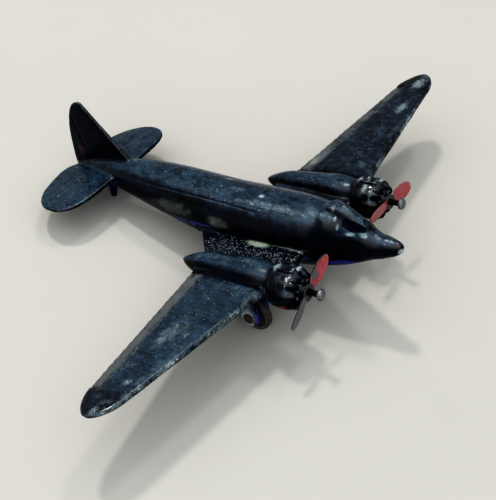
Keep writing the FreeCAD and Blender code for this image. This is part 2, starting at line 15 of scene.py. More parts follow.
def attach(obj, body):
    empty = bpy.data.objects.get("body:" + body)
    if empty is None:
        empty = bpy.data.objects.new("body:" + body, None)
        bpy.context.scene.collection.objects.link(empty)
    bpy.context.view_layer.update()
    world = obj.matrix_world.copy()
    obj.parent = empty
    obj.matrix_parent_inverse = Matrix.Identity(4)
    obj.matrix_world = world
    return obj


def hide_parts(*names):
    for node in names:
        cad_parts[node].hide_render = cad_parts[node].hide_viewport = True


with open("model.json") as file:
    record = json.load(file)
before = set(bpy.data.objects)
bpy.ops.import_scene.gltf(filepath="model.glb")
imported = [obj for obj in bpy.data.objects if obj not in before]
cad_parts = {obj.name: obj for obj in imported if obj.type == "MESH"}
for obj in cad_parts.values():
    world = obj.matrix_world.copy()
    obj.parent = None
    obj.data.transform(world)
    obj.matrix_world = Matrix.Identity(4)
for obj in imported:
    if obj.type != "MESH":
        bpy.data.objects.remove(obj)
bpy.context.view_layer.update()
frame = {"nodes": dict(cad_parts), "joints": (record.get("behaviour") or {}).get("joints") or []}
MM = 0.001
PORT, STARBOARD = 1.0, -1.0
ENGINE_OFFSET = 16.8          # the engines' distance from the middle, in millimetres
PROPELLER_JOINT = 17.25       # where the propellers turn, ahead of the datum's origin
PROPELLER_REAR = 16.95        # where their rear faces lie
FAR = 1e9                     # out of reach of any groove
LOG = logging.getLogger("airliner")

Colour = tuple[float, float, float]


class Trace(Enum):
    """What use has left on the paint, with painted light laid in the same channels: painted highlights among the bare
    metal and painted top light in the hazing; the value is the channel of the wear attribute.
    """

    METAL_AND_HIGHLIGHT = 0
    BLUE = 1
    HAZE_AND_TOP_LIGHT = 2
    GRIT = 3


class Axis(Enum):
    """An axis of the aircraft's own datum."""

    X = 0
    Y = 1
    Z = 2


# ---------------------------------------------------------------- the aircraft's own datum


@dataclass(frozen=True)
class Datum:
    """The level datum of the aircraft, in millimetres, as it stands tipped back on its skid."""

    angle: float
    shift: float
    rise: float

    @classmethod
    def from_frame(cls, propeller_station: float) -> "Datum":
        """Finds the datum from the port propeller's joint.

        Args:
            propeller_station: how far ahead of the datum origin the propeller turns.

        Returns:
            The datum.
        """
        joint = next(j for j in frame["joints"] if j["name"] == "left_propeller_spin")
        angle = math.atan2(joint["axis"][2], joint["axis"][0])
        return cls(angle, joint["pos_m"][0] / MM - propeller_station * math.cos(angle),
                   joint["pos_m"][2] / MM - propeller_station * math.sin(angle))

    def turn(self) -> np.ndarray:
        """Gives the rotation from the datum to the standing frame."""
        c, s = math.cos(self.angle), math.sin(self.angle)
        return np.array([[c, 0.0, -s], [0.0, 1.0, 0.0], [s, 0.0, c]])

    def to_world(self, points: np.ndarray) -> np.ndarray:
        """Takes datum points in millimetres to the standing frame in metres."""
        return (np.asarray(points, float) @ self.turn().T + [self.shift, 0.0, self.rise]) * MM

    def from_world(self, points: np.ndarray) -> np.ndarray:
        """Takes points of the standing frame in metres to the datum in millimetres."""
        return (np.asarray(points, float) / MM - [self.shift, 0.0, self.rise]) @ self.turn()


DATUM = Datum.from_frame(PROPELLER_JOINT)


def ease(values: np.ndarray, low: float, high: float) -> np.ndarray:
    """Steps smoothly from 0 at low to 1 at high."""
    share = np.clip((values - low) / (high - low), 0.0, 1.0)
    return share * share * (3.0 - 2.0 * share)


def fitful(points: np.ndarray, scale: float, seed: int, octaves: int = 3) -> np.ndarray:
    """Gives smooth uneven values from -1 to 1 over points, from a few crossed waves.

    Args:
        points: points, one a row.
        scale: waves in a unit of length.
        seed: which pattern.
        octaves: how many sizes of wave are added.

    Returns:
        One value for each point.
    """
    draw = np.random.default_rng(seed)
    total = np.zeros(len(points))
    weight = 0.0
    for octave in range(octaves):
        for _ in range(5):
            way = draw.normal(size=3)
            way *= scale * 2.0 ** octave * math.tau / np.linalg.norm(way)
            total += np.sin(points @ way + draw.uniform(0, math.tau)) * 0.5 ** octave
            weight += 0.5 ** octave
    return total / weight * 2.0


# ---------------------------------------------------------------- shader desk


class Desk:
    """Lays out the nodes of one material, shader group or Geometry Nodes tree."""

    def __init__(self, tree: bpy.types.NodeTree) -> None:
        """Takes the tree to work in.

        Args:
            tree: the tree of a material, a shader group or a Geometry Nodes modifier.
        """
        self.tree = tree
        self.nodes = tree.nodes
        self.links = tree.links

    def put(self, kind: str, inputs: dict[str | int, object] | None = None, **settings: object) -> bpy.types.Node:
        """Adds one node.

        Args:
            kind: Blender's name of the node.
            inputs: what its sockets take, a number, a colour or another node's socket.
            settings: its own settings.

        Returns:
            The node.
        """
        node = self.nodes.new(kind)
        for name, setting in settings.items():
            setattr(node, name, setting)
        for socket, given in (inputs or {}).items():
            if isinstance(given, bpy.types.NodeSocket):
                self.links.new(given, node.inputs[socket])
            else:
                node.inputs[socket].default_value = given
        return node

    def feed(self, shader: bpy.types.Node, sockets: dict[str, bpy.types.NodeSocket]) -> None:
        """Links sockets to the inputs of a shader, by name."""
        for name, socket in sockets.items():
            self.links.new(socket, shader.inputs[name])

    def bump(self, height: bpy.types.NodeSocket, depth: float, strength: float) -> bpy.types.NodeSocket:
        """Gives the normal of a relief whose depth is in millimetres."""
        return self.put("ShaderNodeBump", {"Height": height, "Distance": depth * MM, "Strength": strength}).outputs[0]

    def traces(self) -> tuple[bpy.types.NodeSocket, ...]:
        """Gives the masks of the wear attribute, in the order of its channels."""
        wear = self.put("ShaderNodeAttribute", attribute_name="wear", attribute_type="GEOMETRY")
        return (*self.put("ShaderNodeSeparateColor", {0: wear.outputs["Color"]}).outputs, wear.outputs["Alpha"])

    def sum(self, operation: str, first: object, second: object = 0.0, clamp: bool = False) -> bpy.types.NodeSocket:
        """Does one sum on two numbers or sockets."""
        return self.put("ShaderNodeMath", {0: first, 1: second}, operation=operation, use_clamp=clamp).outputs[0]

    def step(self, given: object, low: float, high: float, bottom: float = 0.0,
             top: float = 1.0) -> bpy.types.NodeSocket:
        """Goes smoothly from bottom to top as a value goes from low to high."""
        return self.put("ShaderNodeMapRange", {0: given, 1: low, 2: high, 3: bottom, 4: top},
                        interpolation_type="SMOOTHSTEP").outputs[0]

    def blend(self, share: object, first: object, second: object) -> bpy.types.NodeSocket:
        """Mixes two colours.

        Args:
            share: how much of the second colour shows.
            first: the first colour.
            second: the second colour.

        Returns:
            The mixed colour.
        """
        node = self.put("ShaderNodeMix", data_type="RGBA")
        for socket, given in ((node.inputs[0], share), (node.inputs[6], first), (node.inputs[7], second)):
            if isinstance(given, bpy.types.NodeSocket):
                self.links.new(given, socket)
            elif isinstance(given, tuple):
                socket.default_value = (*given, 1.0)
            else:
                socket.default_value = given
        return node.outputs[2]

    def place(self, stretch: Sequence[float] = (1.0, 1.0, 1.0), tilt: float = 0.0) -> bpy.types.NodeSocket:
        """Gives the place on the object in millimetres, stretched along its axes."""
        where = self.put("ShaderNodeTexCoord").outputs["Object"]
        return self.put("ShaderNodeMapping", {"Vector": where, "Scale": [s / MM for s in stretch],
                                              "Rotation": (0.0, tilt, 0.0)}).outputs[0]

    def noise(self, where: bpy.types.NodeSocket, scale: float, detail: float = 3.0,
              roughness: float = 0.55) -> bpy.types.NodeSocket:
        """Gives noise of so many patches a millimetre."""
        return self.put("ShaderNodeTexNoise", {"Vector": where, "Scale": scale, "Detail": detail,
                                               "Roughness": roughness}).outputs["Fac"]


def shader_group(name: str, inputs: Sequence[tuple[str, str, object]],
                 outputs: Sequence[tuple[str, str]]) -> tuple[bpy.types.NodeTree, Desk]:
    """Starts a shader group with named sockets.

    Args:
        name: the group's name.
        inputs: the name, type and first value of each input.
        outputs: the name and type of each output.

    Returns:
        The group and the desk that lays it out.
    """
    tree = bpy.data.node_groups.new(name, "ShaderNodeTree")
    for label, kind, value in inputs:
        tree.interface.new_socket(label, in_out="INPUT", socket_type=kind).default_value = value
    for label, kind in outputs:
        tree.interface.new_socket(label, in_out="OUTPUT", socket_type=kind)
    return tree, Desk(tree)


def make_flaking() -> bpy.types.NodeTree:
    """Makes the group that breaks an even mask into ragged flakes.

    Returns:
        The group.
    """
    tree, desk = shader_group("flaking", (("Mask", "NodeSocketFloat", 0.0), ("Size", "NodeSocketFloat", 1.0),
                                          ("Raggedness", "NodeSocketFloat", 0.6),
                                          ("Softness", "NodeSocketFloat", 0.1)),
                              (("Flakes", "NodeSocketFloat"),))
    inlet = desk.put("NodeGroupInput")
    where = desk.place()
    rate = desk.sum("DIVIDE", 1.0, inlet.outputs["Size"])
    coarse = desk.put("ShaderNodeTexNoise", {"Vector": where, "Scale": rate, "Detail": 5.0, "Roughness": 0.68})
    uneven = desk.sum("MULTIPLY", desk.sum("SUBTRACT", coarse.outputs["Fac"], 0.5), 3.2)
    pushed = desk.sum("ADD", inlet.outputs["Mask"], desk.sum("MULTIPLY", uneven, inlet.outputs["Raggedness"]))
    low = desk.sum("SUBTRACT", 0.5, inlet.outputs["Softness"])
    high = desk.sum("ADD", 0.5, inlet.outputs["Softness"])
    flakes = desk.put("ShaderNodeMapRange", {0: pushed, 1: low, 2: high}, interpolation_type="SMOOTHSTEP").outputs[0]
    present = desk.step(inlet.outputs["Mask"], 0.02, 0.12)
    desk.put("NodeGroupOutput", {"Flakes": desk.sum("MULTIPLY", flakes, present)})
    return tree


def make_brushing() -> bpy.types.NodeTree:
    """Makes the group that gives the height of brush marks and runs in hand-laid paint.

    Returns:
        The group.
    """
    tree, desk = shader_group("brushing", (("Marks", "NodeSocketFloat", 1.0), ("Skin", "NodeSocketFloat", 1.0)),
                              (("Height", "NodeSocketFloat"), ("Streak", "NodeSocketFloat")))
    inlet = desk.put("NodeGroupInput")
    streak = desk.noise(desk.place((0.35, 1.5, 1.5), DATUM.angle), 1.0, 4.0, 0.6)
    skin = desk.noise(desk.place(), 1.3, 2.0, 0.5)
    pitted = desk.noise(desk.place(), 5.0, 2.0, 0.5)
    height = desk.sum("ADD", desk.sum("MULTIPLY", streak, inlet.outputs["Marks"]),
                      desk.sum("MULTIPLY", desk.sum("ADD", skin, desk.sum("MULTIPLY", pitted, 0.22)),
                               inlet.outputs["Skin"]))
    desk.put("NodeGroupOutput", {"Height": height, "Streak": streak})
    return tree


@dataclass(frozen=True)
class Flakes:
    """How an even mask breaks up: the flakes' size in millimetres, their raggedness and their softness."""

    size: float
    raggedness: float
    softness: float


class Shop:
    """Holds the shader groups that more than one finish uses."""

    def __init__(self) -> None:
        """Makes each group once."""
        self.flaking = make_flaking()
        self.brushing = make_brushing()

    def flakes(self, desk: Desk, mask: object, kind: Flakes) -> bpy.types.NodeSocket:
        """Places the flaking group in a finish."""
        return desk.put("ShaderNodeGroup", {"Mask": mask, "Size": kind.size, "Raggedness": kind.raggedness,
                                            "Softness": kind.softness}, node_tree=self.flaking).outputs[0]

    def brush(self, desk: Desk, marks: float, skin: float) -> bpy.types.Node:
        """Places the brushing group in a finish."""
        return desk.put("ShaderNodeGroup", {"Marks": marks, "Skin": skin}, node_tree=self.brushing)


def new_material(name: str) -> tuple[bpy.types.Material, Desk, bpy.types.Node]:
    """Starts a material with its Principled shader.

    Args:
        name: the finish's name.

    Returns:
        The material, its desk and its shader.
    """
    material = bpy.data.materials.new(name)
    material.use_nodes = True
    desk = Desk(material.node_tree)
    shader = next(node for node in desk.nodes if node.type == "BSDF_PRINCIPLED")
    return material, desk, shader


@dataclass(frozen=True)
class CastingPaint:
    """Gloss blue-black brush paint over older royal blue, worn through to bare zinc alloy, with painted highlights,
    reflections and shade laid in its wear and discolouring.
    """

    name: str = "casting_paint"
    deep: Colour = (0.0014, 0.0020, 0.0034)
    navy: Colour = (0.0034, 0.0060, 0.0150)
    slate: Colour = (0.0150, 0.0400, 0.0740)
    royal: Colour = (0.0300, 0.0340, 0.1600)
    haze_and_top_light: Colour = (0.0530, 0.1010, 0.1460)
    bloom_and_highlight: Colour = (0.2400, 0.3150, 0.3400)
    fleck: Colour = (0.6200, 0.6900, 0.7000)
    metal: Colour = (0.5200, 0.5400, 0.5400)
    tarnish: Colour = (0.2600, 0.2800, 0.3000)
    roughness: float = 0.13
    gloss: float = 0.62
    relief: float = 0.05
    mottle_rate: float = 0.28
    grain_rate: float = 3.3
    grain_share: float = 0.58
    blue_flakes: Flakes = Flakes(0.9, 0.5, 0.2)
    dull_and_top_light_flakes: Flakes = Flakes(2.2, 0.36, 0.44)
    bloom_and_highlight_flakes: Flakes = Flakes(1.7, 0.42, 0.42)
    stain_and_painted_light_flakes: Flakes = Flakes(1.6, 0.30, 0.34)
    chip_flakes: Flakes = Flakes(0.5, 0.85, 0.16)

    def build(self, shop: Shop) -> bpy.types.Material:
        """Builds the finish.

        Args:
            shop: the shared shader groups.

        Returns:
            The material.
        """
        material, desk, shader = new_material(self.name)
        metal, blue, haze_and_top_light, grit = desk.traces()
        stain_and_painted_light = desk.put("ShaderNodeAttribute", attribute_name="stain_and_painted_light", attribute_type="GEOMETRY")
        where = desk.place()
        mottle = desk.noise(where, self.mottle_rate, 5.0, 0.62)
        brushed = shop.brush(desk, 0.55, 0.45)
        coat = desk.blend(desk.step(mottle, 0.36, 0.66), self.deep, self.navy)
        streaks = desk.sum("MULTIPLY", desk.step(brushed.outputs["Streak"], 0.42, 0.66), desk.step(haze_and_top_light, 0.1, 0.8))
        coat = desk.blend(streaks, coat, self.slate)
        coat = desk.blend(shop.flakes(desk, blue, self.blue_flakes), coat, self.royal)
        # The hazing colour is partly dulled paint and partly painted top light, as the wear code lays it only on
        # faces that point up.
        dull_and_top_light = shop.flakes(desk, desk.sum("MULTIPLY", haze_and_top_light, 0.56), self.dull_and_top_light_flakes)
        coat = desk.blend(desk.sum("MULTIPLY", dull_and_top_light, 0.66), coat, self.haze_and_top_light)
        # The milky colour and the chips come from the metal channel, which holds real wear and also painted
        # highlights on shoulders, nacelle tops, cowlings and the windscreen.
        bloom_and_highlight = shop.flakes(desk, desk.sum("MULTIPLY", metal, 0.95), self.bloom_and_highlight_flakes)
        bloom_and_highlight = desk.sum("MULTIPLY", bloom_and_highlight, 0.66)
        coat = desk.blend(bloom_and_highlight, coat, self.bloom_and_highlight)
        grains = self.grains(desk, where, haze_and_top_light, grit)
        coat = desk.blend(desk.sum("MULTIPLY", grains, 0.75), coat, self.fleck)
        # This attribute holds real discolouring and also painted reflections and painted shade.
        stained_and_painted_light = shop.flakes(desk, stain_and_painted_light.outputs["Alpha"], self.stain_and_painted_light_flakes)
        coat = desk.blend(desk.sum("MULTIPLY", stained_and_painted_light, 0.85), coat, stain_and_painted_light.outputs["Color"])
        bared_and_highlight = desk.sum("MULTIPLY", desk.sum("SUBTRACT", metal, 0.24), 1.12)
        chips = shop.flakes(desk, bared_and_highlight, self.chip_flakes)
        tarnish = desk.blend(desk.step(desk.noise(where, 1.6, 4.0), 0.35, 0.65), self.metal, self.tarnish)
        coat = desk.blend(desk.sum("MULTIPLY", chips, 0.9), coat, tarnish)
        rough = desk.step(mottle, 0.3, 0.7, self.roughness, self.roughness + 0.10)
        rough = desk.sum("ADD", rough, desk.sum("MULTIPLY", desk.sum("MAXIMUM", dull_and_top_light, bloom_and_highlight), 0.24))
        rough = desk.sum("ADD", rough, desk.sum("MULTIPLY", grains, 0.3))
        rough = desk.sum("ADD", rough, desk.sum("MULTIPLY", desk.sum("MAXIMUM", chips, stained_and_painted_light), 0.24), True)
        height = desk.sum("SUBTRACT", brushed.outputs["Height"], desk.sum("MULTIPLY", chips, 0.9))
        height = desk.sum("ADD", height, desk.sum("MULTIPLY", grains, 0.35))
        # The sheen attribute sets the specular level: painted reflection, strong on faces that point up and weak on
        # the sides.
        sheen = desk.put("ShaderNodeAttribute", attribute_name="sheen", attribute_type="GEOMETRY").outputs["Fac"]
        desk.feed(shader, {"Base Color": coat, "Roughness": rough, "Metallic": desk.sum("MULTIPLY", chips, 0.25),
                           "Normal": desk.bump(height, self.relief, 0.9),
                           "Specular IOR Level": desk.sum("MULTIPLY", sheen, self.gloss)})
        return material

    def grains(self, desk: Desk, where: bpy.types.NodeSocket, haze_and_top_light: bpy.types.NodeSocket,
               grit: bpy.types.NodeSocket) -> bpy.types.NodeSocket:
        """Scatters pinhead grains of bare metal, thick where the grit is and few under the hazing and painted top
        light.

        Args:
            desk: the finish's desk.
            where: the place on the object, in millimetres.
            haze_and_top_light: the mask of dulled paint and of painted top light on faces that point up.
            grit: the mask of gritty paint.

        Returns:
            The mask of the grains.
        """
        cells = desk.put("ShaderNodeTexVoronoi", {"Vector": where, "Scale": self.grain_rate})
        lot = desk.put("ShaderNodeSeparateColor", {0: cells.outputs["Color"]}).outputs[0]
        crowd = desk.sum("MULTIPLY", desk.sum("MAXIMUM", desk.sum("MULTIPLY", haze_and_top_light, 0.14), grit), self.grain_share)
        drawn = desk.step(desk.sum("SUBTRACT", lot, desk.sum("SUBTRACT", 1.0, crowd)), 0.0, 0.05)
        dots = desk.sum("MULTIPLY", drawn, desk.step(cells.outputs["Distance"], 0.16, 0.42, 1.0, 0.0))
        return desk.sum("MULTIPLY", dots, desk.step(desk.sum("MAXIMUM", haze_and_top_light, grit), 0.05, 0.4))


@dataclass(frozen=True)
class PropellerPaint:
    """Red enamel on the front of stamped sheet, dark behind, rubbed to metal at the rims."""

    name: str = "propeller_paint"
    red: Colour = (0.24, 0.050, 0.056)
    worn_red: Colour = (0.32, 0.095, 0.100)
    rubbed: Colour = (0.095, 0.088, 0.092)
    back: Colour = (0.012, 0.012, 0.016)
    worn_back: Colour = (0.060, 0.055, 0.060)
    metal: Colour = (0.42, 0.41, 0.40)
    rubbed_flakes: Flakes = Flakes(0.8, 0.5, 0.16)
    back_flakes: Flakes = Flakes(0.5, 0.18, 0.1)
    chip_flakes: Flakes = Flakes(0.5, 0.5, 0.15)

    def build(self, shop: Shop) -> bpy.types.Material:
        """Builds the finish.

        Args:
            shop: the shared shader groups.

        Returns:
            The material.
        """
        material, desk, shader = new_material(self.name)
        metal, behind, rubbed, _ = desk.traces()
        where = desk.place()
        uneven = desk.noise(where, 1.4, 4.0, 0.6)
        front = desk.blend(desk.step(uneven, 0.35, 0.7), self.red, self.worn_red)
        front = desk.blend(shop.flakes(desk, rubbed, self.rubbed_flakes), front, self.rubbed)
        rear = desk.blend(desk.step(uneven, 0.4, 0.72), self.back, self.worn_back)
        coat = desk.blend(shop.flakes(desk, behind, self.back_flakes), front, rear)
        chips = shop.flakes(desk, metal, self.chip_flakes)
        coat = desk.blend(chips, coat, self.metal)
        height = desk.sum("SUBTRACT", desk.noise(where, 2.2, 3.0), chips)
        desk.feed(shader, {"Base Color": coat,
                           "Roughness": desk.step(desk.sum("ADD", uneven, chips), 0.3, 1.3, 0.30, 0.52),
                           "Metallic": desk.sum("MULTIPLY", chips, 0.8), "Normal": desk.bump(height, 0.03, 0.8)})
        return material


@dataclass(frozen=True)
class DullSteel:
    """Bare or plated steel gone dull, with rust and soot in patches."""

    name: str
    bright: Colour
    dark: Colour
    rust: Colour
    rust_share: float
    roughness: float
    metallic: float = 0.85
    soot: Colour = (0.010, 0.009, 0.009)
    rust_flakes: Flakes = Flakes(0.7, 0.6, 0.2)

    def build(self, shop: Shop) -> bpy.types.Material:
        """Builds the finish.

        Args:
            shop: the shared shader groups.

        Returns:
            The material.
        """
        material, desk, shader = new_material(self.name)
        where = desk.place()
        uneven = desk.noise(where, 2.1, 5.0, 0.65)
        bare = desk.traces()[Trace.METAL_AND_HIGHLIGHT.value]
        steel = desk.blend(desk.step(uneven, 0.38, 0.66), self.bright, self.dark)
        steel = desk.blend(desk.sum("SUBTRACT", 1.0, bare), steel, self.soot)
        rusted = shop.flakes(desk, self.rust_share, self.rust_flakes)
        steel = desk.blend(rusted, steel, self.rust)
        scratch = desk.noise(desk.place((6.0, 0.8, 0.8), DATUM.angle), 1.0, 3.0, 0.6)
        desk.feed(shader, {"Base Color": steel,
                           "Roughness": desk.step(desk.sum("ADD", uneven, rusted), 0.3, 1.5, self.roughness, 0.75),
                           "Metallic": desk.step(rusted, 0.0, 1.0, self.metallic, 0.15),
                           "Normal": desk.bump(desk.sum("ADD", scratch, rusted), 0.03, 0.7)})
        return material


@dataclass(frozen=True)
class WheelRubber:
    """Aged brown-black tyre with a dusty tread and a rubbed rim."""

    name: str = "wheel_rubber"
    body: Colour = (0.020, 0.017, 0.015)
    brown: Colour = (0.062, 0.050, 0.042)
    dust: Colour = (0.095, 0.087, 0.080)
    dust_flakes: Flakes = Flakes(0.55, 0.6, 0.25)

    def build(self, shop: Shop) -> bpy.types.Material:
        """Builds the finish.

        Args:
            shop: the shared shader groups.

        Returns:
            The material.
        """
        material, desk, shader = new_material(self.name)
        where = desk.place()
        rim = desk.traces()[Trace.METAL_AND_HIGHLIGHT.value]
        uneven = desk.noise(where, 2.6, 5.0, 0.7)
        rubber = desk.blend(desk.step(uneven, 0.45, 0.75), self.body, self.brown)
        dusty = shop.flakes(desk, desk.sum("ADD", rim, 0.16), self.dust_flakes)
        rubber = desk.blend(dusty, rubber, self.dust)
        desk.feed(shader, {"Base Color": rubber, "Roughness": desk.step(uneven, 0.3, 0.8, 0.42, 0.72),
                           "Normal": desk.bump(uneven, 0.06, 0.9)})
        return material


# ---------------------------------------------------------------- mesh work


@dataclass(frozen=True)
class Patch:
    """A patch in one wear channel, centred on a datum point, on each point within its reach; some patches lay painted
    highlights instead of wear.
    """

    trace: Trace
    spot: tuple[float, float, float]
    reach: tuple[float, float, float]
    strength: float


@dataclass(frozen=True)
class StainAndPaintedLight:
    """A patch of another colour, centred on a datum point; most are real discolouring, some are painted reflections.
    """

    colour: Colour
    spot: tuple[float, float, float]
    reach: tuple[float, float, float]
    strength: float


@dataclass(frozen=True)
class Groove:
    """A line cut into a skin, drawn on the plane of two datum axes, on points that the test accepts."""

    plane: tuple[Axis, Axis]
    path: tuple[tuple[float, float], ...]
    depth: float
    width: float
    where: Callable[[np.ndarray, np.ndarray], np.ndarray]


def reach_of(points: np.ndarray, spot: Sequence[float], reach: Sequence[float]) -> np.ndarray:
    """Gives how much each point belongs to a soft oval patch, 1 at its middle."""
    away = (((points - spot) / reach) ** 2).sum(1)
    return np.exp(-1.4 * away * away)


def path_distance(flat: np.ndarray, path: Sequence[tuple[float, float]]) -> np.ndarray:
    """Gives the distance of flat points from an open path.

    Args:
        flat: points on a plane.
        path: the corners of the path, in order.

    Returns:
        One distance for each point.
    """
    best = np.full(len(flat), FAR)
    for start, end in zip(path, path[1:]):
        a, along = np.array(start), np.subtract(end, start)
        share = np.clip((flat - a) @ along / (along @ along), 0.0, 1.0)
        best = np.minimum(best, np.linalg.norm(flat - a - share[:, None] * along, axis=1))
    return best


def radial_of(points: np.ndarray, offset: float) -> np.ndarray:
    """Gives the distance of points from the nearer engine's axis."""
    return np.hypot(np.abs(points[:, 1]) - offset, points[:, 2])


def read_vectors(items: bpy.types.bpy_prop_collection, key: str) -> np.ndarray:
    """Reads one vector of each of a mesh's items, a row each.

    Args:
        items: the points, normals or the like of a mesh.
        key: the name of the vector.

    Returns:
        The vectors.
    """
    raw = np.empty(len(items) * 3, np.float32)
    items.foreach_get(key, raw)
    return raw.reshape(-1, 3)


def lay_attribute(mesh: bpy.types.Mesh, name: str, values: np.ndarray) -> None:
    """Lays one number, or four as a colour, on each point of a mesh.

    Args:
        mesh: the mesh.
        name: the name of the attribute.
        values: one number, or a row of four, for each point.
    """
    kind, key = ("FLOAT", "value") if values.ndim == 1 else ("FLOAT_COLOR", "color")
    layer = mesh.attributes.new(name, kind, "POINT")
    layer.data.foreach_set(key, values.astype(np.float32).ravel())


def link(name: str, data: bpy.types.ID) -> bpy.types.Object:
    """Adds a mesh, lamp or camera to the scene as an object.

    Args:
        name: the name of the object.
        data: the mesh, lamp or camera.

    Returns:
        The object.
    """
    thing = bpy.data.objects.new(name, data)
    bpy.context.scene.collection.objects.link(thing)
    return thing


def applied(thing: bpy.types.Object) -> bpy.types.Mesh:
    """Gives the mesh of an object with its modifiers applied, and removes the object.

    Args:
        thing: the object, in the scene.

    Returns:
        The plain mesh.
    """
    graph = bpy.context.evaluated_depsgraph_get()
    mesh = bpy.data.meshes.new_from_object(thing.evaluated_get(graph))
    bpy.data.objects.remove(thing)
    return mesh


class Skin:
    """The skin of a CAD piece, closed by a fine voxel grid and worked in the datum."""

    def __init__(self, node: str, voxel: float) -> None:
        """Copies a CAD node's mesh and closes it.

        Args:
            node: the node's name.
            voxel: the grid's pitch in millimetres.
        """
        mesh = frame["nodes"][node].data.copy()
        mesh.materials.clear()
        work = bmesh.new()
        work.from_mesh(mesh)
        bmesh.ops.remove_doubles(work, verts=work.verts, dist=0.0005 * MM)
        work.to_mesh(mesh)
        work.free()
        thing = link("raw_" + node, mesh)
        grid = thing.modifiers.new("grid", "REMESH")
        grid.mode = "VOXEL"
        grid.voxel_size = voxel * MM
        grid.use_smooth_shade = True
        self.mesh = applied(thing)
        self.voxel = voxel
        self.node = node
        self.read()
        self.forget_wear()

    def read(self) -> None:
        """Reads the mesh's points, edges and normals into arrays."""
        self.points = DATUM.from_world(read_vectors(self.mesh.vertices, "co"))
        pairs = np.empty(len(self.mesh.edges) * 2, np.int32)
        self.mesh.edges.foreach_get("vertices", pairs)
        self.pairs = pairs.reshape(-1, 2)
        self.degree = np.bincount(self.pairs.ravel(), minlength=len(self.points)).astype(float)[:, None]
        self.take_normals()

    def write(self) -> None:
        """Writes the points back to the mesh."""
        self.mesh.vertices.foreach_set("co", DATUM.to_world(self.points).astype(np.float32).ravel())
        self.mesh.update()

    def take_normals(self) -> None:
        """Reads the normals of the mesh as it stands."""
        self.normals = read_vectors(self.mesh.vertex_normals, "vector") @ DATUM.turn()

    def settle(self) -> None:
        """Writes the points and reads the new normals."""
        self.write()
        self.take_normals()

    def mean_of_neighbours(self, values: np.ndarray) -> np.ndarray:
        """Averages values over each point's neighbours.

        Args:
            values: one row for each point.

        Returns:
            One row of means for each point.
        """
        a, b = self.pairs.T
        count = len(values)
        total = np.stack([np.bincount(a, values[b, i], count) + np.bincount(b, values[a, i], count)
                          for i in range(values.shape[1])], 1)
        return total / self.degree

    def soften(self, rounds: int, edge_share: float, where: np.ndarray | float = 1.0) -> None:
        """Fills inner corners as thick paint does, and rounds outer edges only a little.

        Args:
            rounds: how many passes.
            edge_share: how much of the smoothing acts on outer edges.
            where: how much of it acts at each point.
        """
        share = 0.5 * np.reshape(where, (-1, 1))
        for number in range(rounds):
            pull = self.mean_of_neighbours(self.points) - self.points
            rise = (pull * self.normals).sum(1, keepdims=True)
            flat = pull - rise * self.normals
            self.points = self.points + share * (flat + self.normals * np.where(rise > 0, rise, rise * edge_share))
            if number % 4 == 3:
                self.settle()
        self.settle()

    def sharpness(self) -> np.ndarray:
        """Gives how much each point stands out as an outer edge, from about 0 to 1.

        Returns:
            One share for each point.
        """
        pull = self.mean_of_neighbours(self.points) - self.points
        out = -(pull * self.normals).sum(1, keepdims=True)
        for _ in range(3):
            out = 0.5 * out + 0.5 * self.mean_of_neighbours(out)
        return ease(out[:, 0] / self.voxel, 0.03, 0.14)

    def thin(self, share: float) -> None:
        """Collapses the faces that the shape needs least, to a share of the triangles.

        Args:
            share: how many of the triangles stay.
        """
        self.write()
        thing = link("full_" + self.node, self.mesh)
        collapse = thing.modifiers.new("thin", "DECIMATE")
        collapse.ratio = share
        self.mesh = applied(thing)
        self.read()

    def refine(self, near: np.ndarray) -> None:
        """Divides the faces whose points are all marked, for finer detail there.

        Args:
            near: which points are marked.
        """
        work = bmesh.new()
        work.from_mesh(self.mesh)
        work.verts.ensure_lookup_table()
        edges = [edge for edge in work.edges if near[edge.verts[0].index] and near[edge.verts[1].index]]
        bmesh.ops.subdivide_edges(work, edges=edges, cuts=1, use_grid_fill=True, smooth=0.0)
        work.to_mesh(self.mesh)
        work.free()
        self.read()

    def groove_distance(self, groove: Groove) -> np.ndarray:
        """Gives the distance of each point from a groove's path.

        Args:
            groove: the line.

        Returns:
            One distance for each point, FAR where the groove doesn't run.
        """
        flat = self.points[:, [axis.value for axis in groove.plane]]
        away = path_distance(flat, groove.path)
        return np.where(groove.where(self.points, self.normals), away, FAR)

    def cut_grooves(self, grooves: Iterable[Groove]) -> None:
        """Cuts grooves into the skin, after dividing its faces beside them.

        Args:
            grooves: the lines to cut.
        """
        grooves = list(grooves)
        near = np.zeros(len(self.points), bool)
        for groove in grooves:
            near |= self.groove_distance(groove) < groove.width + 0.22
        self.refine(near)
        sink = np.zeros(len(self.points))
        for groove in grooves:
            sink = np.maximum(sink, groove.depth * np.exp(-(self.groove_distance(groove) / groove.width) ** 2))
        self.points = self.points - self.normals * sink[:, None]
        self.settle()

    def press(self, depth: np.ndarray) -> None:
        """Presses the skin in by a depth at each point."""
        self.points = self.points - self.normals * depth[:, None]
        self.settle()

    def mark(self, patches: Iterable[Patch], stains_and_painted_light: Iterable[StainAndPaintedLight] = ()) -> None:
        """Lays patches of wear and of other colours on the skin; some of both are painted light.

        Args:
            patches: the patches of wear, some of them painted highlights.
            stains_and_painted_light: the patches of another colour, some of them painted reflections.
        """
        for patch in patches:
            self.add(patch.trace, reach_of(self.points, patch.spot, patch.reach) * patch.strength)
        for stain_and_painted_light in stains_and_painted_light:
            share = reach_of(self.points, stain_and_painted_light.spot, stain_and_painted_light.reach) * stain_and_painted_light.strength
            stronger = share > self.stain_and_painted_light[:, 3]
            self.stain_and_painted_light[stronger, :3] = stain_and_painted_light.colour
            self.stain_and_painted_light[:, 3] = np.maximum(self.stain_and_painted_light[:, 3], share)

    def add(self, trace: Trace, amount: np.ndarray) -> None:
        """Adds an amount to one wear channel at each point, painted light included."""
        self.wear[:, trace.value] = np.clip(np.maximum(self.wear[:, trace.value], amount), 0.0, 1.0)

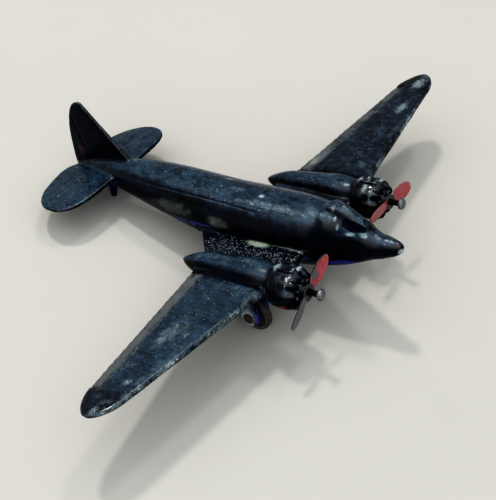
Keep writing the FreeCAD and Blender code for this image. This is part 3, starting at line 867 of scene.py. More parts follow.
    def forget_wear(self) -> None:
        """Starts the wear again, after the points have changed in number."""
        self.wear = np.zeros((len(self.points), 4))
        self.stain_and_painted_light = np.zeros((len(self.points), 4))
        # The sheen scales the specular level by how far a face points up: painted reflection, strong on the tops and
        # weak on the sides.
        self.sheen = 0.14 + 0.86 * ease(self.normals[:, 2], 0.22, 0.72)

    def finish(self, name: str, material: bpy.types.Material, body: str, slot: str) -> bpy.types.Object:
        """Makes the finished piece, which stands for its CAD node.

        Args:
            name: the piece's name.
            material: its finish.
            body: the body that it rides on.
            slot: the record's material slot.

        Returns:
            The piece.
        """
        self.write()
        for label, values in (("wear", self.wear), ("stain_and_painted_light", self.stain_and_painted_light), ("sheen", self.sheen)):
            lay_attribute(self.mesh, label, values)
        return deliver(name, self.mesh, material, body, slot, self.node)


def deliver(name: str, mesh: bpy.types.Mesh, material: bpy.types.Material, body: str, slot: str,
            *nodes: str) -> bpy.types.Object:
    """Hands a finished mesh over as a piece that rides on a body and stands for CAD nodes.

    Args:
        name: the name of the piece.
        mesh: its mesh, in its place.
        material: its finish.
        body: the body that it rides on.
        slot: the record's material slot; not used.
        nodes: the CAD nodes that it stands for.

    Returns:
        The piece.
    """
    mesh.materials.clear()
    mesh.materials.append(material)
    mesh.shade_smooth()
    piece = link(name, mesh)
    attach(piece, body)
    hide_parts(*nodes)
    LOG.info("%s: %d faces on %s", name, len(mesh.polygons), body)
    return piece


def box_share(points: np.ndarray, *limits: tuple[Axis, float, float, float]) -> np.ndarray:
    """Gives how far inside soft limits each point is: 1 inside all of them, 0 outside any.

    Args:
        points: datum points.
        limits: for each axis the lowest and highest value, and the width of the soft edge.

    Returns:
        One share for each point.
    """
    share = np.ones(len(points))
    for axis, low, high, soft in limits:
        values = points[:, axis.value]
        share *= ease(values, low - soft, low) * (1.0 - ease(values, high, high + soft))
    return share


# ---------------------------------------------------------------- the fuselage casting


@dataclass
class FuselageCasting:
    """The fuselage, fin, stabilisers and skid, cast in one."""

    voxel: float = 0.285
    crown_bulge: float = 0.5
    pane_depth: float = 0.30
    hinge_depth: float = 0.16
    hinge_width: float = 0.16
    band_depth: float = 0.07
    band_width: float = 0.17
    windscreen: tuple[tuple[float, float, float], ...] = ((17.9, 1.7, 8.2), (20.2, 1.1, 7.5), (23.0, 0.8, 5.8),
                                                         (22.5, 1.6, 5.2), (20.0, 2.7, 5.6), (17.8, 2.9, 6.7))
    material: bpy.types.Material | None = None

    def grooves(self) -> list[Groove]:
        """Gives the lines cut round the rudder and elevators and along the cabin.

        Returns:
            The lines.
        """
        xz, xy = (Axis.X, Axis.Z), (Axis.X, Axis.Y)
        lines = [Groove(xz, ((-57.2, 8.4), (-58.3, 14.0), (-59.3, 20.0), (-59.9, 24.2)), self.hinge_depth,
                        self.hinge_width, lambda p, n: (np.abs(n[:, 1]) > 0.6) & (p[:, 2] > 8.3))]
        for side in (PORT, STARBOARD):
            hinge = ((-54.9, side * 3.4), (-55.6, side * 10.0), (-56.2, side * 15.0), (-56.3, side * 18.7))
            lines.append(Groove(xy, hinge, self.hinge_depth, self.hinge_width, lambda p, n: np.abs(n[:, 2]) > 0.6))
        band = ((-42.0, 9.0), (-29.0, 8.7), (-16.0, 8.2), (-3.0, 7.6))
        lines.append(Groove(xz, band, self.band_depth, self.band_width, lambda p, n: np.abs(p[:, 1]) > 1.0))
        return lines

    def pane(self, points: np.ndarray, corners: Sequence[Sequence[float]], side: float) -> np.ndarray:
        """Gives how far inside a window pane each point is, in millimetres, 0 outside.

        Args:
            points: the points of the skin.
            corners: the corners of the pane on the port side, in order.
            side: PORT or STARBOARD.

        Returns:
            One depth inside for each point.
        """
        ring = np.array(corners) * [1.0, side, 1.0]
        centre = ring.mean(0)
        half = len(ring) // 2
        facing = np.cross(ring[half] - ring[0], ring[half + 1] - ring[1])
        facing /= np.linalg.norm(facing)
        inside = 0.9 - np.abs((points - centre) @ facing)
        for start, end in zip(ring, np.roll(ring, -1, 0)):
            inward = np.cross(facing, end - start)
            inward /= np.linalg.norm(inward)
            if (centre - start) @ inward < 0:
                inward = -inward
            inside = np.minimum(inside, (points - start) @ inward)
        return np.maximum(inside, 0.0)

    def shape(self) -> Skin:
        """Makes the skin: evened out, most of all where the nose meets the windscreen and round the cockpit.

        Returns:
            The skin.
        """
        skin = Skin("fuselage", self.voxel)
        skin.soften(12, 0.18)
        p = skin.points
        nose_top = box_share(p, (Axis.X, 22.6, 25.5, 1.0), (Axis.Z, 3.0, 7.0, 1.0))
        cockpit = box_share(p, (Axis.X, 10.5, 20.0, 1.5), (Axis.Z, 3.5, 12.0, 1.0))
        skin.soften(70, 0.9, nose_top)
        skin.soften(24, 0.8, cockpit)
        p = skin.points
        skin.refine((p[:, 0] > 12.5) & (p[:, 0] < 24.5) & (p[:, 2] > 4.0))
        skin.cut_grooves(self.grooves())
        return skin

    def build(self) -> bpy.types.Object:
        """Builds, wears and hands over the casting.

        Returns:
            The finished piece.
        """
        skin = self.shape()
        p, n = skin.points, skin.normals
        depth = np.zeros(len(p))
        for side in (PORT, STARBOARD):
            depth = np.maximum(depth, self.pane_depth * ease(self.pane(p, self.windscreen, side), 0.0, 0.32))
        glazed = depth / self.pane_depth
        crown = box_share(p, (Axis.X, 14.5, 21.5, 2.5)) * (p[:, 2] > 5.5) * np.clip(n[:, 2] + 0.3, 0.0, 1.0)
        depth -= self.crown_bulge * crown * np.exp(-((np.abs(p[:, 1]) - 1.0) / 0.75) ** 2)
        depth += 0.05 * fitful(p, 0.11, 3) + 0.022 * fitful(p, 0.35, 4)
        skin.press(depth)
        skin.forget_wear()
        self.wear(skin)
        # Painted dark reflection: the window panes lose their hazing and most of their specular level, so they stay
        # black.
        skin.wear[:, Trace.HAZE_AND_TOP_LIGHT.value] *= 1.0 - glazed
        skin.sheen *= 1.0 - 0.7 * glazed
        # Painted shade: the nose sides below the cockpit lose most of their specular level, so they stay dark.
        skin.sheen *= 1.0 - 0.85 * box_share(p, (Axis.X, 12.0, 21.0, 2.0), (Axis.Z, -5.0, 6.0, 1.3))
        return skin.finish("fuselage_casting", self.material, "airframe", "casting_paint")

    def wear(self, skin: Skin) -> None:
        """Lays the wear, the discolouring and the painted light on the casting.

        Args:
            skin: the casting's skin.
        """
        p, n = skin.points, skin.normals
        # Hazing on faces that point up: dulled paint, and painted top light that makes the tops lighter than the
        # sides.
        up = ease(n[:, 2], 0.50, 0.86)
        skin.add(Trace.HAZE_AND_TOP_LIGHT, up * (0.84 + 0.20 * fitful(p, 0.09, 11)))
        edge = skin.sharpness()
        worn = 0.30 + 0.22 * fitful(p, 0.16, 12)
        skin.add(Trace.METAL_AND_HIGHLIGHT, edge * worn * 0.62)
        metal, blue, haze_and_top_light = Trace.METAL_AND_HIGHLIGHT, Trace.BLUE, Trace.HAZE_AND_TOP_LIGHT
        skin.mark((
            Patch(metal, (30.3, -0.7, 1.5), (1.0, 1.2, 1.0), 1.0),
            Patch(metal, (-14.5, 1.9, 9.8), (1.6, 0.4, 1.5), 0.62),
            Patch(metal, (-3.0, -1.5, 9.6), (1.0, 0.7, 1.0), 0.85),
            Patch(metal, (-10.5, -1.0, 9.6), (3.2, 0.8, 1.0), 0.42),
            # Painted highlight, laid as bare metal: the band along the starboard shoulder of the hull.
            Patch(metal, (2.0, -3.5, 8.8), (13.0, 1.0, 1.2), 0.44),
            Patch(metal, (12.0, -2.8, 8.9), (2.6, 1.3, 1.2), 0.52),
            # Painted highlights, laid as bare metal: the windscreen's rear frame, its sill and the crown above it.
            Patch(metal, (16.3, -2.2, 8.1), (0.45, 0.9, 0.8), 0.72),
            Patch(metal, (17.1, -3.2, 6.8), (0.35, 0.7, 1.0), 0.60),
            Patch(metal, (15.2, -2.6, 8.4), (0.5, 0.5, 0.9), 0.50),
            Patch(metal, (15.6, -0.8, 9.9), (0.6, 2.2, 1.0), 0.46),
            Patch(metal, (19.9, -3.0, 5.4), (1.9, 0.7, 0.5), 0.66),
            Patch(metal, (22.6, -2.0, 5.0), (1.4, 0.8, 0.7), 0.68),
            Patch(metal, (18.6, -0.6, 9.4), (2.6, 0.9, 1.6), 0.34),
            Patch(metal, (-42.0, 0.0, 10.0), (1.6, 1.2, 1.3), 0.62),
            Patch(metal, (-49.5, 0.0, 17.0), (4.4, 0.5, 7.5), 0.34),
            Patch(blue, (-18.4, -6.6, 1.6), (5.0, 2.0, 1.3), 0.9),
            Patch(blue, (-26.0, -5.2, 1.6), (6.0, 2.6, 1.3), 0.62),
            Patch(blue, (16.8, -4.4, -1.9), (5.0, 2.2, 1.5), 0.9),
            Patch(blue, (-47.0, -6.0, 6.6), (3.0, 4.0, 0.9), 0.42),
            Patch(blue, (-46.8, 7.5, 6.8), (2.0, 3.0, 0.9), 0.36),
            Patch(blue, (-53.0, 0.0, 2.6), (3.0, 2.0, 2.4), 0.5),
            Patch(haze_and_top_light, (19.5, -1.5, 7.5), (4.5, 3.0, 3.0), 0.34),
            Patch(haze_and_top_light, (-60.0, 0.0, 13.0), (4.0, 1.4, 6.0), 0.24),
        ), (
            StainAndPaintedLight((0.16, 0.024, 0.026), (29.4, -0.5, 3.0), (0.8, 0.4, 0.5), 0.7),
            StainAndPaintedLight((0.16, 0.045, 0.040), (-60.0, -0.6, 11.6), (1.5, 0.6, 2.0), 0.42),
            # Painted reflection of the table: the two olive-grey patches on the starboard side of the hull.
            StainAndPaintedLight((0.120, 0.130, 0.112), (-28.0, -6.3, 4.8), (9.0, 1.8, 2.2), 0.52),
            StainAndPaintedLight((0.140, 0.155, 0.140), (-13.5, -6.9, 3.9), (4.0, 1.6, 1.8), 0.56),
        ))


# ---------------------------------------------------------------- the wing casting


@dataclass
class WingCasting:
    """The wing with its nacelles, cowlings and undercarriage lugs, cast in one."""

    voxel: float = 0.26
    kept_share: float = 0.51
    engine_offset: float = ENGINE_OFFSET
    aileron_inner: tuple[float, float] = (-4.6, 40.6)
    aileron_outer: tuple[float, float] = (-1.9, 59.1)
    flap_inner: tuple[float, float] = (-6.9, 21.4)
    hinge_depth: float = 0.22
    hinge_width: float = 0.17
    aileron_drop: float = 0.34
    cylinder_heads: int = 9
    head_height: float = 0.26
    mouth_depth: float = 0.10
    scoop_depth: float = 0.75
    scoop_lip: float = 0.34
    # Painted reflection and painted shade: the grey of the flap and aileron strips and the near black of their gaps.
    painted_reflection_grey: Colour = (0.125, 0.131, 0.128)
    gap_shade: Colour = (0.004, 0.005, 0.008)
    material: bpy.types.Material | None = None

    def grooves(self) -> list[Groove]:
        """Gives the lines cut round the ailerons and flaps.

        Returns:
            The lines.
        """
        lines = []
        for side in (PORT, STARBOARD):
            (ix, iy), (ox, oy), (fx, fy) = self.aileron_inner, self.aileron_outer, self.flap_inner
            inner = ((ix, side * iy), (ix - 4.5, side * (iy - 0.1)))
            outer = ((ox, side * oy), (ox - 4.0, side * (oy + 0.3)))
            hinge = ((fx, side * fy), (ix, side * iy), (ox, side * oy))
            for path in (inner, outer, hinge):
                lines.append(Groove((Axis.X, Axis.Y), path, self.hinge_depth, self.hinge_width,
                                    lambda p, n: n[:, 2] > 0.5))
        return lines

    def behind_hinge(self, p: np.ndarray) -> tuple[np.ndarray, np.ndarray]:
        """Gives how far each point lies behind the hinge line, and how much it belongs to a flap or aileron.

        Args:
            p: the points of the skin.

        Returns:
            The distance behind the line, and the share, for each point.
        """
        half = np.abs(p[:, 1])
        (ix, iy), (ox, oy), (fx, fy) = self.aileron_inner, self.aileron_outer, self.flap_inner
        behind = np.interp(half, (fy, iy, oy), (fx, ix, ox)) - p[:, 0]
        return behind, ease(half, fy - 0.4, fy) * (1.0 - ease(half, oy, oy + 0.3))

    def cowl_relief(self, p: np.ndarray, n: np.ndarray) -> np.ndarray:
        """Gives the relief of the cowlings: the ring of cylinder heads, the mouth's groove and the scoop on top.

        Args:
            p: the skin's points.
            n: the skin's normals.

        Returns:
            How deep each point lies.
        """
        side = np.abs(p[:, 1]) - self.engine_offset
        radial = radial_of(p, self.engine_offset)
        around = np.arctan2(side, p[:, 2])
        front = box_share(p, (Axis.X, 12.9, 15.9, 0.7)) * (radial < 5.9)
        heads = self.head_height * front * np.cos(around * self.cylinder_heads) * np.clip(n[:, 0] + 0.35, 0.0, 1.0)
        mouth = self.mouth_depth * np.exp(-((p[:, 0] - 14.9) / 0.28) ** 2) * (radial < 5.6)
        away = np.hypot((p[:, 0] - 12.3) / 1.7, side / 0.62)
        on_cowl = (p[:, 2] > 3.9) & (np.abs(side) < 2.2) & (p[:, 0] > 9.0)
        lip = self.scoop_lip * np.exp(-((away - 1.45) / 0.34) ** 2)
        return mouth - heads + on_cowl * (self.scoop_depth * np.exp(-away ** 4) - lip)

    def build(self) -> bpy.types.Object:
        """Builds, wears and hands over the casting.

        Returns:
            The finished piece.
        """
        skin = Skin("wing", self.voxel)
        skin.soften(13, 0.16)
        skin.thin(self.kept_share)
        p = skin.points
        skin.refine((p[:, 0] > 10.2) & (radial_of(p, self.engine_offset) < 6.6))
        skin.cut_grooves(self.grooves())
        p, n = skin.points, skin.normals
        behind, movable = self.behind_hinge(p)
        top = n[:, 2] > 0.3
        depth = self.aileron_drop * ease(behind, 0.0, 0.45) * (1.0 - 0.45 * ease(behind, 0.5, 4.0)) * movable * top
        depth += self.cowl_relief(p, n)
        depth += 0.05 * fitful(p, 0.10, 5) + 0.022 * fitful(p, 0.32, 6)
        round_pin = ease(radial_of(p, self.engine_offset), 1.3, 2.2)
        skin.press(np.where(p[:, 0] > 15.0, depth * round_pin, depth) * ease(p[:, 2], -8.5, -6.5))
        skin.forget_wear()
        self.wear(skin)
        return skin.finish("wing_casting", self.material, "airframe", "casting_paint")

    def wear(self, skin: Skin) -> None:
        """Lays the wear, the discolouring and the painted light on the casting.

        Args:
            skin: the casting's skin.
        """
        p, n = skin.points, skin.normals
        half = np.abs(p[:, 1])
        up = ease(n[:, 2], 0.50, 0.96)
        cowl = box_share(p, (Axis.X, 8.6, 20.0, 0.8)) * (radial_of(p, self.engine_offset) < 7.5)
        root = 1.0 - ease(half, 12.5, 14.0)
        port_wing = ease(p[:, 1], 20.0, 23.0)
        # Hazing on up-facing faces: dulled paint and painted top light; less on the cowlings and the root, and half
        # on the port wing, which keeps that wing darker as painted shade.
        skin.add(Trace.HAZE_AND_TOP_LIGHT, up * (0.88 + 0.20 * fitful(p, 0.07, 21)) * (1.0 - 0.75 * cowl)
                 * (1.0 - 0.72 * root) * (1.0 - 0.50 * port_wing))
        edge = skin.sharpness()
        skin.add(Trace.METAL_AND_HIGHLIGHT, edge * (0.34 + 0.24 * fitful(p, 0.14, 22)) * 0.7)
        skin.add(Trace.METAL_AND_HIGHLIGHT, ease(half, 20.0, 22.0) * up * (0.05 + 0.22 * fitful(p, 0.085, 23)))
        skin.add(Trace.METAL_AND_HIGHLIGHT, ease(half, 21.0, 24.0) * ease(n[:, 0], 0.3, 0.8) * (0.36 + 0.30 * fitful(p, 0.16, 24)))
        behind, movable = self.behind_hinge(p)
        # Painted reflection: the flap and aileron strips are painted greyer, as their tilted surface reflects;
        # painted shade: the hinge gaps and aileron ends are painted near black.
        strip = movable * ease(behind, 0.05, 0.35) * (n[:, 2] > 0.2)
        painted_reflection_grey = strip * (0.78 - 0.20 * (p[:, 1] > 0.0) + 0.18 * fitful(p, 0.12, 27))
        ends = np.minimum(np.abs(half - self.aileron_inner[1]), np.abs(half - self.aileron_outer[1]))
        gap = np.maximum(np.exp(-((behind - 0.12) / 0.22) ** 2), np.exp(-(ends / 0.22) ** 2) * (behind > 0.0))
        skin.stain_and_painted_light[:, :3] = np.outer(1.0 - gap, self.painted_reflection_grey) + np.outer(gap, self.gap_shade)
        skin.stain_and_painted_light[:, 3] = painted_reflection_grey
        skin.add(Trace.METAL_AND_HIGHLIGHT, 0.52 * movable * (n[:, 2] > 0.2) * np.exp(-((behind + 0.12) / 0.2) ** 2))
        skin.wear[:, Trace.HAZE_AND_TOP_LIGHT.value] *= 1.0 - 0.62 * ease(half, 56.0, 60.0)
        # Painted shade: the wing beside each nacelle and the nacelles' flanks lose their hazing and most of their
        # sheen, as if in shadow.
        beside = box_share(p, (Axis.X, -16.0, 8.8, 1.0)) * ease(half, 19.4, 20.2) * (1.0 - ease(half, 21.4, 22.2))
        flank = (box_share(p, (Axis.X, -22.0, 8.6, 0.5), (Axis.Z, 0.5, 9.0, 0.2))
                 * (radial_of(p, self.engine_offset) < 6.6) * (1.0 - ease(n[:, 2], 0.55, 0.85)))
        shaded = np.maximum(beside, flank)
        skin.wear[:, Trace.HAZE_AND_TOP_LIGHT.value] *= 1.0 - 0.9 * shaded
        skin.sheen *= 1.0 - 0.7 * shaded
        # Painted highlights with some wear, laid as bare metal on up-facing faces: the cowlings' front lip and rear
        # shoulder.
        lip = cowl * np.exp(-((p[:, 0] - 14.4) / 0.5) ** 2) * ease(n[:, 2], -0.1, 0.6)
        skin.add(Trace.METAL_AND_HIGHLIGHT, lip * (0.50 + 0.45 * fitful(p, 0.22, 25)))
        shoulder = cowl * np.exp(-((p[:, 0] - 12.6) / 0.9) ** 2) * ease(n[:, 2], 0.45, 0.8)
        skin.add(Trace.METAL_AND_HIGHLIGHT, shoulder * (0.36 + 0.45 * fitful(p, 0.20, 26)))
        metal, blue = Trace.METAL_AND_HIGHLIGHT, Trace.BLUE
        gear = self.engine_offset
        skin.mark((
            Patch(metal, (0.2, -41.2, 3.0), (2.4, 5.0, 2.0), 0.46),
            Patch(metal, (3.6, -40.2, 3.0), (0.9, 0.9, 2.0), 0.58),
            Patch(metal, (2.2, -55.6, 4.0), (0.9, 1.1, 2.0), 0.66),
            Patch(metal, (1.7, -64.2, 4.3), (1.1, 1.7, 2.0), 0.56),
            Patch(metal, (4.4, -62.0, 4.3), (0.7, 2.6, 2.0), 0.50),
            Patch(metal, (4.4, -57.0, 4.1), (1.0, 6.0, 2.0), 0.34),
            Patch(metal, (4.9, -48.0, 3.2), (1.2, 7.0, 2.0), 0.34),
            Patch(metal, (1.7, 60.6, 4.2), (2.2, 3.2, 2.0), 0.60),
            Patch(metal, (2.6, 50.0, 3.6), (1.3, 3.6, 2.0), 0.58),
            Patch(metal, (5.4, 41.0, 3.0), (1.0, 7.0, 2.0), 0.30),
            Patch(metal, (-7.8, 27.0, 1.7), (2.4, 5.0, 2.0), 0.46),
            Patch(metal, (9.0, -23.2, 1.0), (0.9, 3.4, 1.4), 0.40),
            # Painted highlight and edge wear, as thin bare-metal lines: along the starboard nacelle's fillet and the
            # starboard wing root.
            Patch(metal, (3.6, -22.3, 1.5), (6.6, 0.30, 1.0), 0.60),
            Patch(metal, (5.0, -7.3, 1.6), (5.6, 0.28, 1.2), 0.62),
            Patch(metal, (-1.6, -8.0, 1.6), (3.4, 1.2, 1.0), 0.62),
            Patch(metal, (-0.6, -19.4, -9.6), (3.6, 0.9, 6.6), 1.0),
            Patch(metal, (-0.6, 19.4, -9.6), (3.6, 0.9, 6.6), 1.0),
            # Painted highlights, laid as bare metal: rings round the cowl scoops and bands along the nacelle tops.
            Patch(metal, (10.4, -gear, 5.2), (1.1, 2.2, 1.2), 0.76),
            Patch(metal, (10.4, gear, 5.2), (0.8, 1.9, 1.2), 0.60),
            Patch(metal, (-8.0, -gear, 3.4), (8.5, 1.4, 1.5), 0.34),
            Patch(metal, (2.0, -gear, 5.0), (8.0, 1.7, 1.4), 0.36),
            Patch(metal, (0.0, gear, 5.0), (11.0, 1.6, 1.4), 0.30),
            Patch(blue, (9.8, -7.2, -0.9), (1.5, 2.2, 1.4), 0.62),
            Patch(blue, (8.6, 8.0, -0.6), (1.6, 2.6, 2.0), 0.7),
            Patch(blue, (3.0, -gear, -10.5), (1.2, 5.0, 7.0), 1.0),
            Patch(blue, (3.0, gear, -10.5), (1.2, 5.0, 7.0), 1.0),
            Patch(blue, (9.0, -22.0, 0.2), (1.0, 0.8, 1.0), 0.7),
            Patch(blue, (-2.0, -34.0, 2.4), (4.0, 6.0, 2.0), 0.12),
            Patch(blue, (6.2, 34.0, 2.0), (1.2, 9.0, 2.0), 0.24),
            Patch(blue, (6.4, -40.0, 2.4), (1.0, 9.0, 2.0), 0.24),
            Patch(Trace.GRIT, (3.0, -11.6, 1.6), (16.0, 3.8, 1.2), 0.95),
            Patch(Trace.GRIT, (-8.0, -11.6, 1.4), (10.0, 4.2, 1.2), 1.0),
            Patch(Trace.GRIT, (3.0, 34.0, 2.6), (7.0, 18.0, 2.0), 0.09),
            Patch(Trace.GRIT, (-3.0, -gear, 4.2), (9.0, 3.0, 2.0), 0.10),
            Patch(Trace.GRIT, (1.0, gear, 4.2), (12.0, 3.0, 2.0), 0.12),
        ), (
            StainAndPaintedLight((0.33, 0.37, 0.27), (-1.6, -8.0, 1.6), (3.6, 1.15, 1.0), 0.86),
            # Painted highlight and edge wear: a thin pale line along the starboard wing root.
            StainAndPaintedLight((0.30, 0.31, 0.24), (4.6, -7.5, 1.6), (5.4, 0.32, 1.0), 0.50),
            StainAndPaintedLight((0.26, 0.26, 0.20), (-8.4, 26.2, 1.5), (2.0, 4.0, 1.5), 0.60),
            StainAndPaintedLight((0.16, 0.022, 0.024), (13.2, -gear - 4.4, -1.9), (1.2, 1.2, 0.6), 0.8),
        ))


# ---------------------------------------------------------------- propellers


def repeated_round(piece: bpy.types.Mesh, count: int, material: bpy.types.Material, name: str) -> bpy.types.Mesh:
    """Repeats a mesh round the X axis with Geometry Nodes.

    Args:
        piece: the mesh to repeat.
        count: how many.
        material: what the whole is made of.
        name: the tree's name.

    Returns:
        The repeated mesh, made plain.
    """
    tree = bpy.data.node_groups.new(name, "GeometryNodeTree")
    tree.interface.new_socket("Piece", in_out="INPUT", socket_type="NodeSocketGeometry")
    tree.interface.new_socket("Count", in_out="INPUT", socket_type="NodeSocketInt")
    tree.interface.new_socket("Material", in_out="INPUT", socket_type="NodeSocketMaterial")
    tree.interface.new_socket("Whole", in_out="OUTPUT", socket_type="NodeSocketGeometry")
    desk = Desk(tree)
    inlet = desk.put("NodeGroupInput")
    share = desk.sum("DIVIDE", math.tau, inlet.outputs["Count"])
    angle = desk.sum("MULTIPLY", desk.put("GeometryNodeInputIndex").outputs[0], share)
    seats = desk.put("GeometryNodePoints", {"Count": inlet.outputs["Count"]})
    turn = desk.put("ShaderNodeCombineXYZ", {"X": angle})
    spread = desk.put("GeometryNodeInstanceOnPoints", {"Points": seats.outputs[0], "Instance": inlet.outputs["Piece"],
                                                       "Rotation": turn.outputs[0]})
    solid = desk.put("GeometryNodeRealizeInstances", {0: spread.outputs[0]})
    dressed = desk.put("GeometryNodeSetMaterial", {"Geometry": solid.outputs[0],
                                                   "Material": inlet.outputs["Material"]})
    desk.put("NodeGroupOutput", {"Whole": dressed.outputs[0]})
    thing = link(name, piece)
    modifier = thing.modifiers.new("repeat", "NODES")
    modifier.node_group = tree
    for item in tree.interface.items_tree:
        if item.name == "Count":
            modifier[item.identifier] = count
        elif item.name == "Material":
            modifier[item.identifier] = material
    return applied(thing)


@dataclass
class Propeller:
    """A stamped two-bladed propeller: oval blades with rolled rims, twisted out of a flat hub disc."""

    side: str
    turn: float
    rubbed_spot: tuple[float, float]
    lower_blade_bare: bool
    radius: float = 8.9
    blade_root: float = 1.15
    half_width: float = 1.7
    waist: float = 0.95
    thickness: float = 0.42
    hub_radius: float = 1.7
    pin_hole: float = 0.72
    proud: float = 0.09
    rim_rounding: float = 0.12
    pitch: float = 14.0
    blades: int = 2
    rows: int = 60
    columns: int = 26
    material: bpy.types.Material | None = None

    def half_width_at(self, reach: np.ndarray) -> np.ndarray:
        """Gives the blade's half width at a distance from the axis.

        Args:
            reach: distances from the axis.

        Returns:
            One half width for each.
        """
        middle = (self.radius + self.blade_root) / 2
        oval = np.sqrt(np.maximum(0.0, 1.0 - ((reach - middle) / (self.radius - middle)) ** 2)) * self.half_width
        neck = self.waist * (1.0 - ease(reach, 2.6, 4.4))
        return np.maximum(oval, neck)

    def blade(self) -> bpy.types.Mesh:
        """Makes one blade, along +Z, its front towards +X.

        Returns:
            The blade's mesh.
        """
        reach = self.blade_root + (self.radius - self.blade_root) * np.sin(np.linspace(0.0, math.pi / 2, self.rows))
        wide = np.sin(np.linspace(-math.pi / 2, math.pi / 2, self.columns))
        r, w = np.meshgrid(reach, wide, indexing="ij")
        half = self.half_width_at(r)
        across = w * half
        rim = ease(np.abs(w), 0.62, 0.93) * ease(r, 3.0, 4.2)
        end = 1.0 - np.sqrt(np.clip(1.0 - w * w, 0.0, 1.0))
        camber = 0.10 * (w * w) * ease(r, 2.5, 5.0) + 0.07 * rim
        bend = 0.12 * ((r - self.blade_root) / self.radius) ** 2
        tip = ease(r, self.radius - 0.5, self.radius)
        wall = self.thickness / 2 * np.maximum(1.0 - end, 0.0) ** 0.5 * (1.0 - tip * 0.999)
        twist = np.radians(self.pitch) * ease(r, 1.0, 2.9)
        verts = []
        for sign in (1.0, -1.0):
            out = camber + bend + sign * wall
            x = out * np.cos(twist) + across * np.sin(twist) + self.thickness / 2 + self.proud
            y = across * np.cos(twist) - out * np.sin(twist)
            verts.append(np.stack([x, y, r], -1))
        return self.closed(verts[0], verts[1])

    def closed(self, front: np.ndarray, back: np.ndarray) -> bpy.types.Mesh:
        """Closes two facing grids into one blade mesh.

        Args:
            front: the points of the front, in rows and columns.
            back: the points of the back, likewise.

        Returns:
            The blade's mesh.
        """
        rows, columns = front.shape[:2]
        count = rows * columns
        points = np.concatenate([front.reshape(-1, 3), back.reshape(-1, 3)]) * MM
        faces = []
        for i in range(rows - 1):
            for j in range(columns - 1):
                a = i * columns + j
                quad = (a, a + 1, a + columns + 1, a + columns)
                faces.append(quad)
                faces.append(tuple(v + count for v in reversed(quad)))
        rim = list(range(columns)) + [i * columns + columns - 1 for i in range(1, rows)]
        rim += [(rows - 1) * columns + j for j in range(columns - 2, -1, -1)]
        rim += [i * columns for i in range(rows - 2, 0, -1)]
        for a, b in zip(rim, rim[1:] + rim[:1]):
            faces.append((a, b, b + count, a + count))
        mesh = bpy.data.meshes.new("blade")
        mesh.from_pydata(points.tolist(), [], faces)
        return outward(mesh)

    def hub(self) -> bpy.types.Mesh:
        """Makes the flat hub disc with its pin hole and rounded rims.

        Returns:
            The hub's mesh.
        """
        r, hole, soft = self.hub_radius, self.pin_hole, self.rim_rounding
        t = self.thickness + 2 * self.proud
        profile = [(0.0, hole), (0.0, r - soft), (0.3 * soft, r - 0.3 * soft), (soft, r), (t - soft, r),
                   (t - 0.3 * soft, r - 0.3 * soft), (t, r - soft), (t, hole)]
        return spun(profile, 64, "hub")

    def build(self, station: float, offset: float) -> bpy.types.Object:
        """Builds the propeller on its pin.

        Args:
            station: where its rear face lies, ahead of the datum origin.
            offset: the engine's distance to port.

        Returns:
            The finished piece.
        """
        pair = repeated_round(self.blade(), self.blades, self.material, self.side + "_blades")
        whole = bmesh.new()
        whole.from_mesh(pair)
        whole.from_mesh(self.hub())
        mesh = bpy.data.meshes.new(self.side + "_propeller")
        whole.to_mesh(mesh)
        whole.free()
        mesh.update()
        own = read_vectors(mesh.vertices, "co").astype(float) / MM
        self.paint(mesh, own, read_vectors(mesh.vertex_normals, "vector"))
        c, s = math.cos(math.radians(self.turn)), math.sin(math.radians(self.turn))
        turned = own @ np.array([[1, 0, 0], [0, c, -s], [0, s, c]]).T + [station, offset, 0.0]
        mesh.vertices.foreach_set("co", DATUM.to_world(turned).astype(np.float32).ravel())
        mesh.update()
        return deliver(self.side + "_propeller_blades", mesh, self.material, self.side + "_propeller",
                       "propeller_paint", self.side + "_propeller")

    def paint(self, mesh: bpy.types.Mesh, own: np.ndarray, facing: np.ndarray) -> None:
        """Lays the wear: metal at the rims, the dark back and the rubbed patch on the front.

        Args:
            mesh: the propeller's mesh.
            own: its points about its own axis, in millimetres.
            facing: the directions in which its points face.
        """
        reach = np.hypot(own[:, 1], own[:, 2])
        across = np.abs(own[:, 1]) / np.cos(math.radians(self.pitch))
        rim = ease(across / np.maximum(self.half_width_at(reach), 0.3), 0.84, 0.97)
        worn_side = np.sign(own[:, 1]) == np.sign(self.rubbed_spot[1])
        wear = np.zeros((len(own), 4))
        wear[:, 0] = 0.62 * ease(reach, self.radius - 0.55, self.radius) + 0.30 * rim * (reach > 2.2) * ~worn_side
        wear[:, 1] = np.maximum(facing[:, 0] < -0.2, 0.62 * (reach < 1.75))
        wear[:, 1] = np.maximum(wear[:, 1], rim * worn_side)
        up, aside = self.rubbed_spot
        wear[:, 2] = 0.9 * np.exp(-((own[:, 2] - up) / 1.8) ** 2 - ((own[:, 1] - aside) / 1.1) ** 2)
        wear[:, 2] = np.maximum(wear[:, 2], 0.85 * (own[:, 2] < -1.5) * self.lower_blade_bare)
        lay_attribute(mesh, "wear", wear)


def spun(profile: Sequence[tuple[float, float]], steps: int, name: str) -> bpy.types.Mesh:
    """Turns a closed profile of (along, radius) points in millimetres about the X axis.

    Args:
        profile: the profile's points in order.
        steps: how many sides the turned piece has.
        name: the mesh's name.

    Returns:
        The mesh.
    """
    angles = np.arange(steps) * math.tau / steps
    points = [(x * MM, r * math.cos(a) * MM, r * math.sin(a) * MM) for a in angles for x, r in profile]
    count = len(profile)
    faces = []
    for i in range(steps):
        for j in range(count):
            a, b = i * count + j, i * count + (j + 1) % count
            c, d = ((i + 1) % steps) * count + (j + 1) % count, ((i + 1) % steps) * count + j
            faces.append((a, b, c, d))
    mesh = bpy.data.meshes.new(name)
    mesh.from_pydata(points, [], faces)
    return outward(mesh)


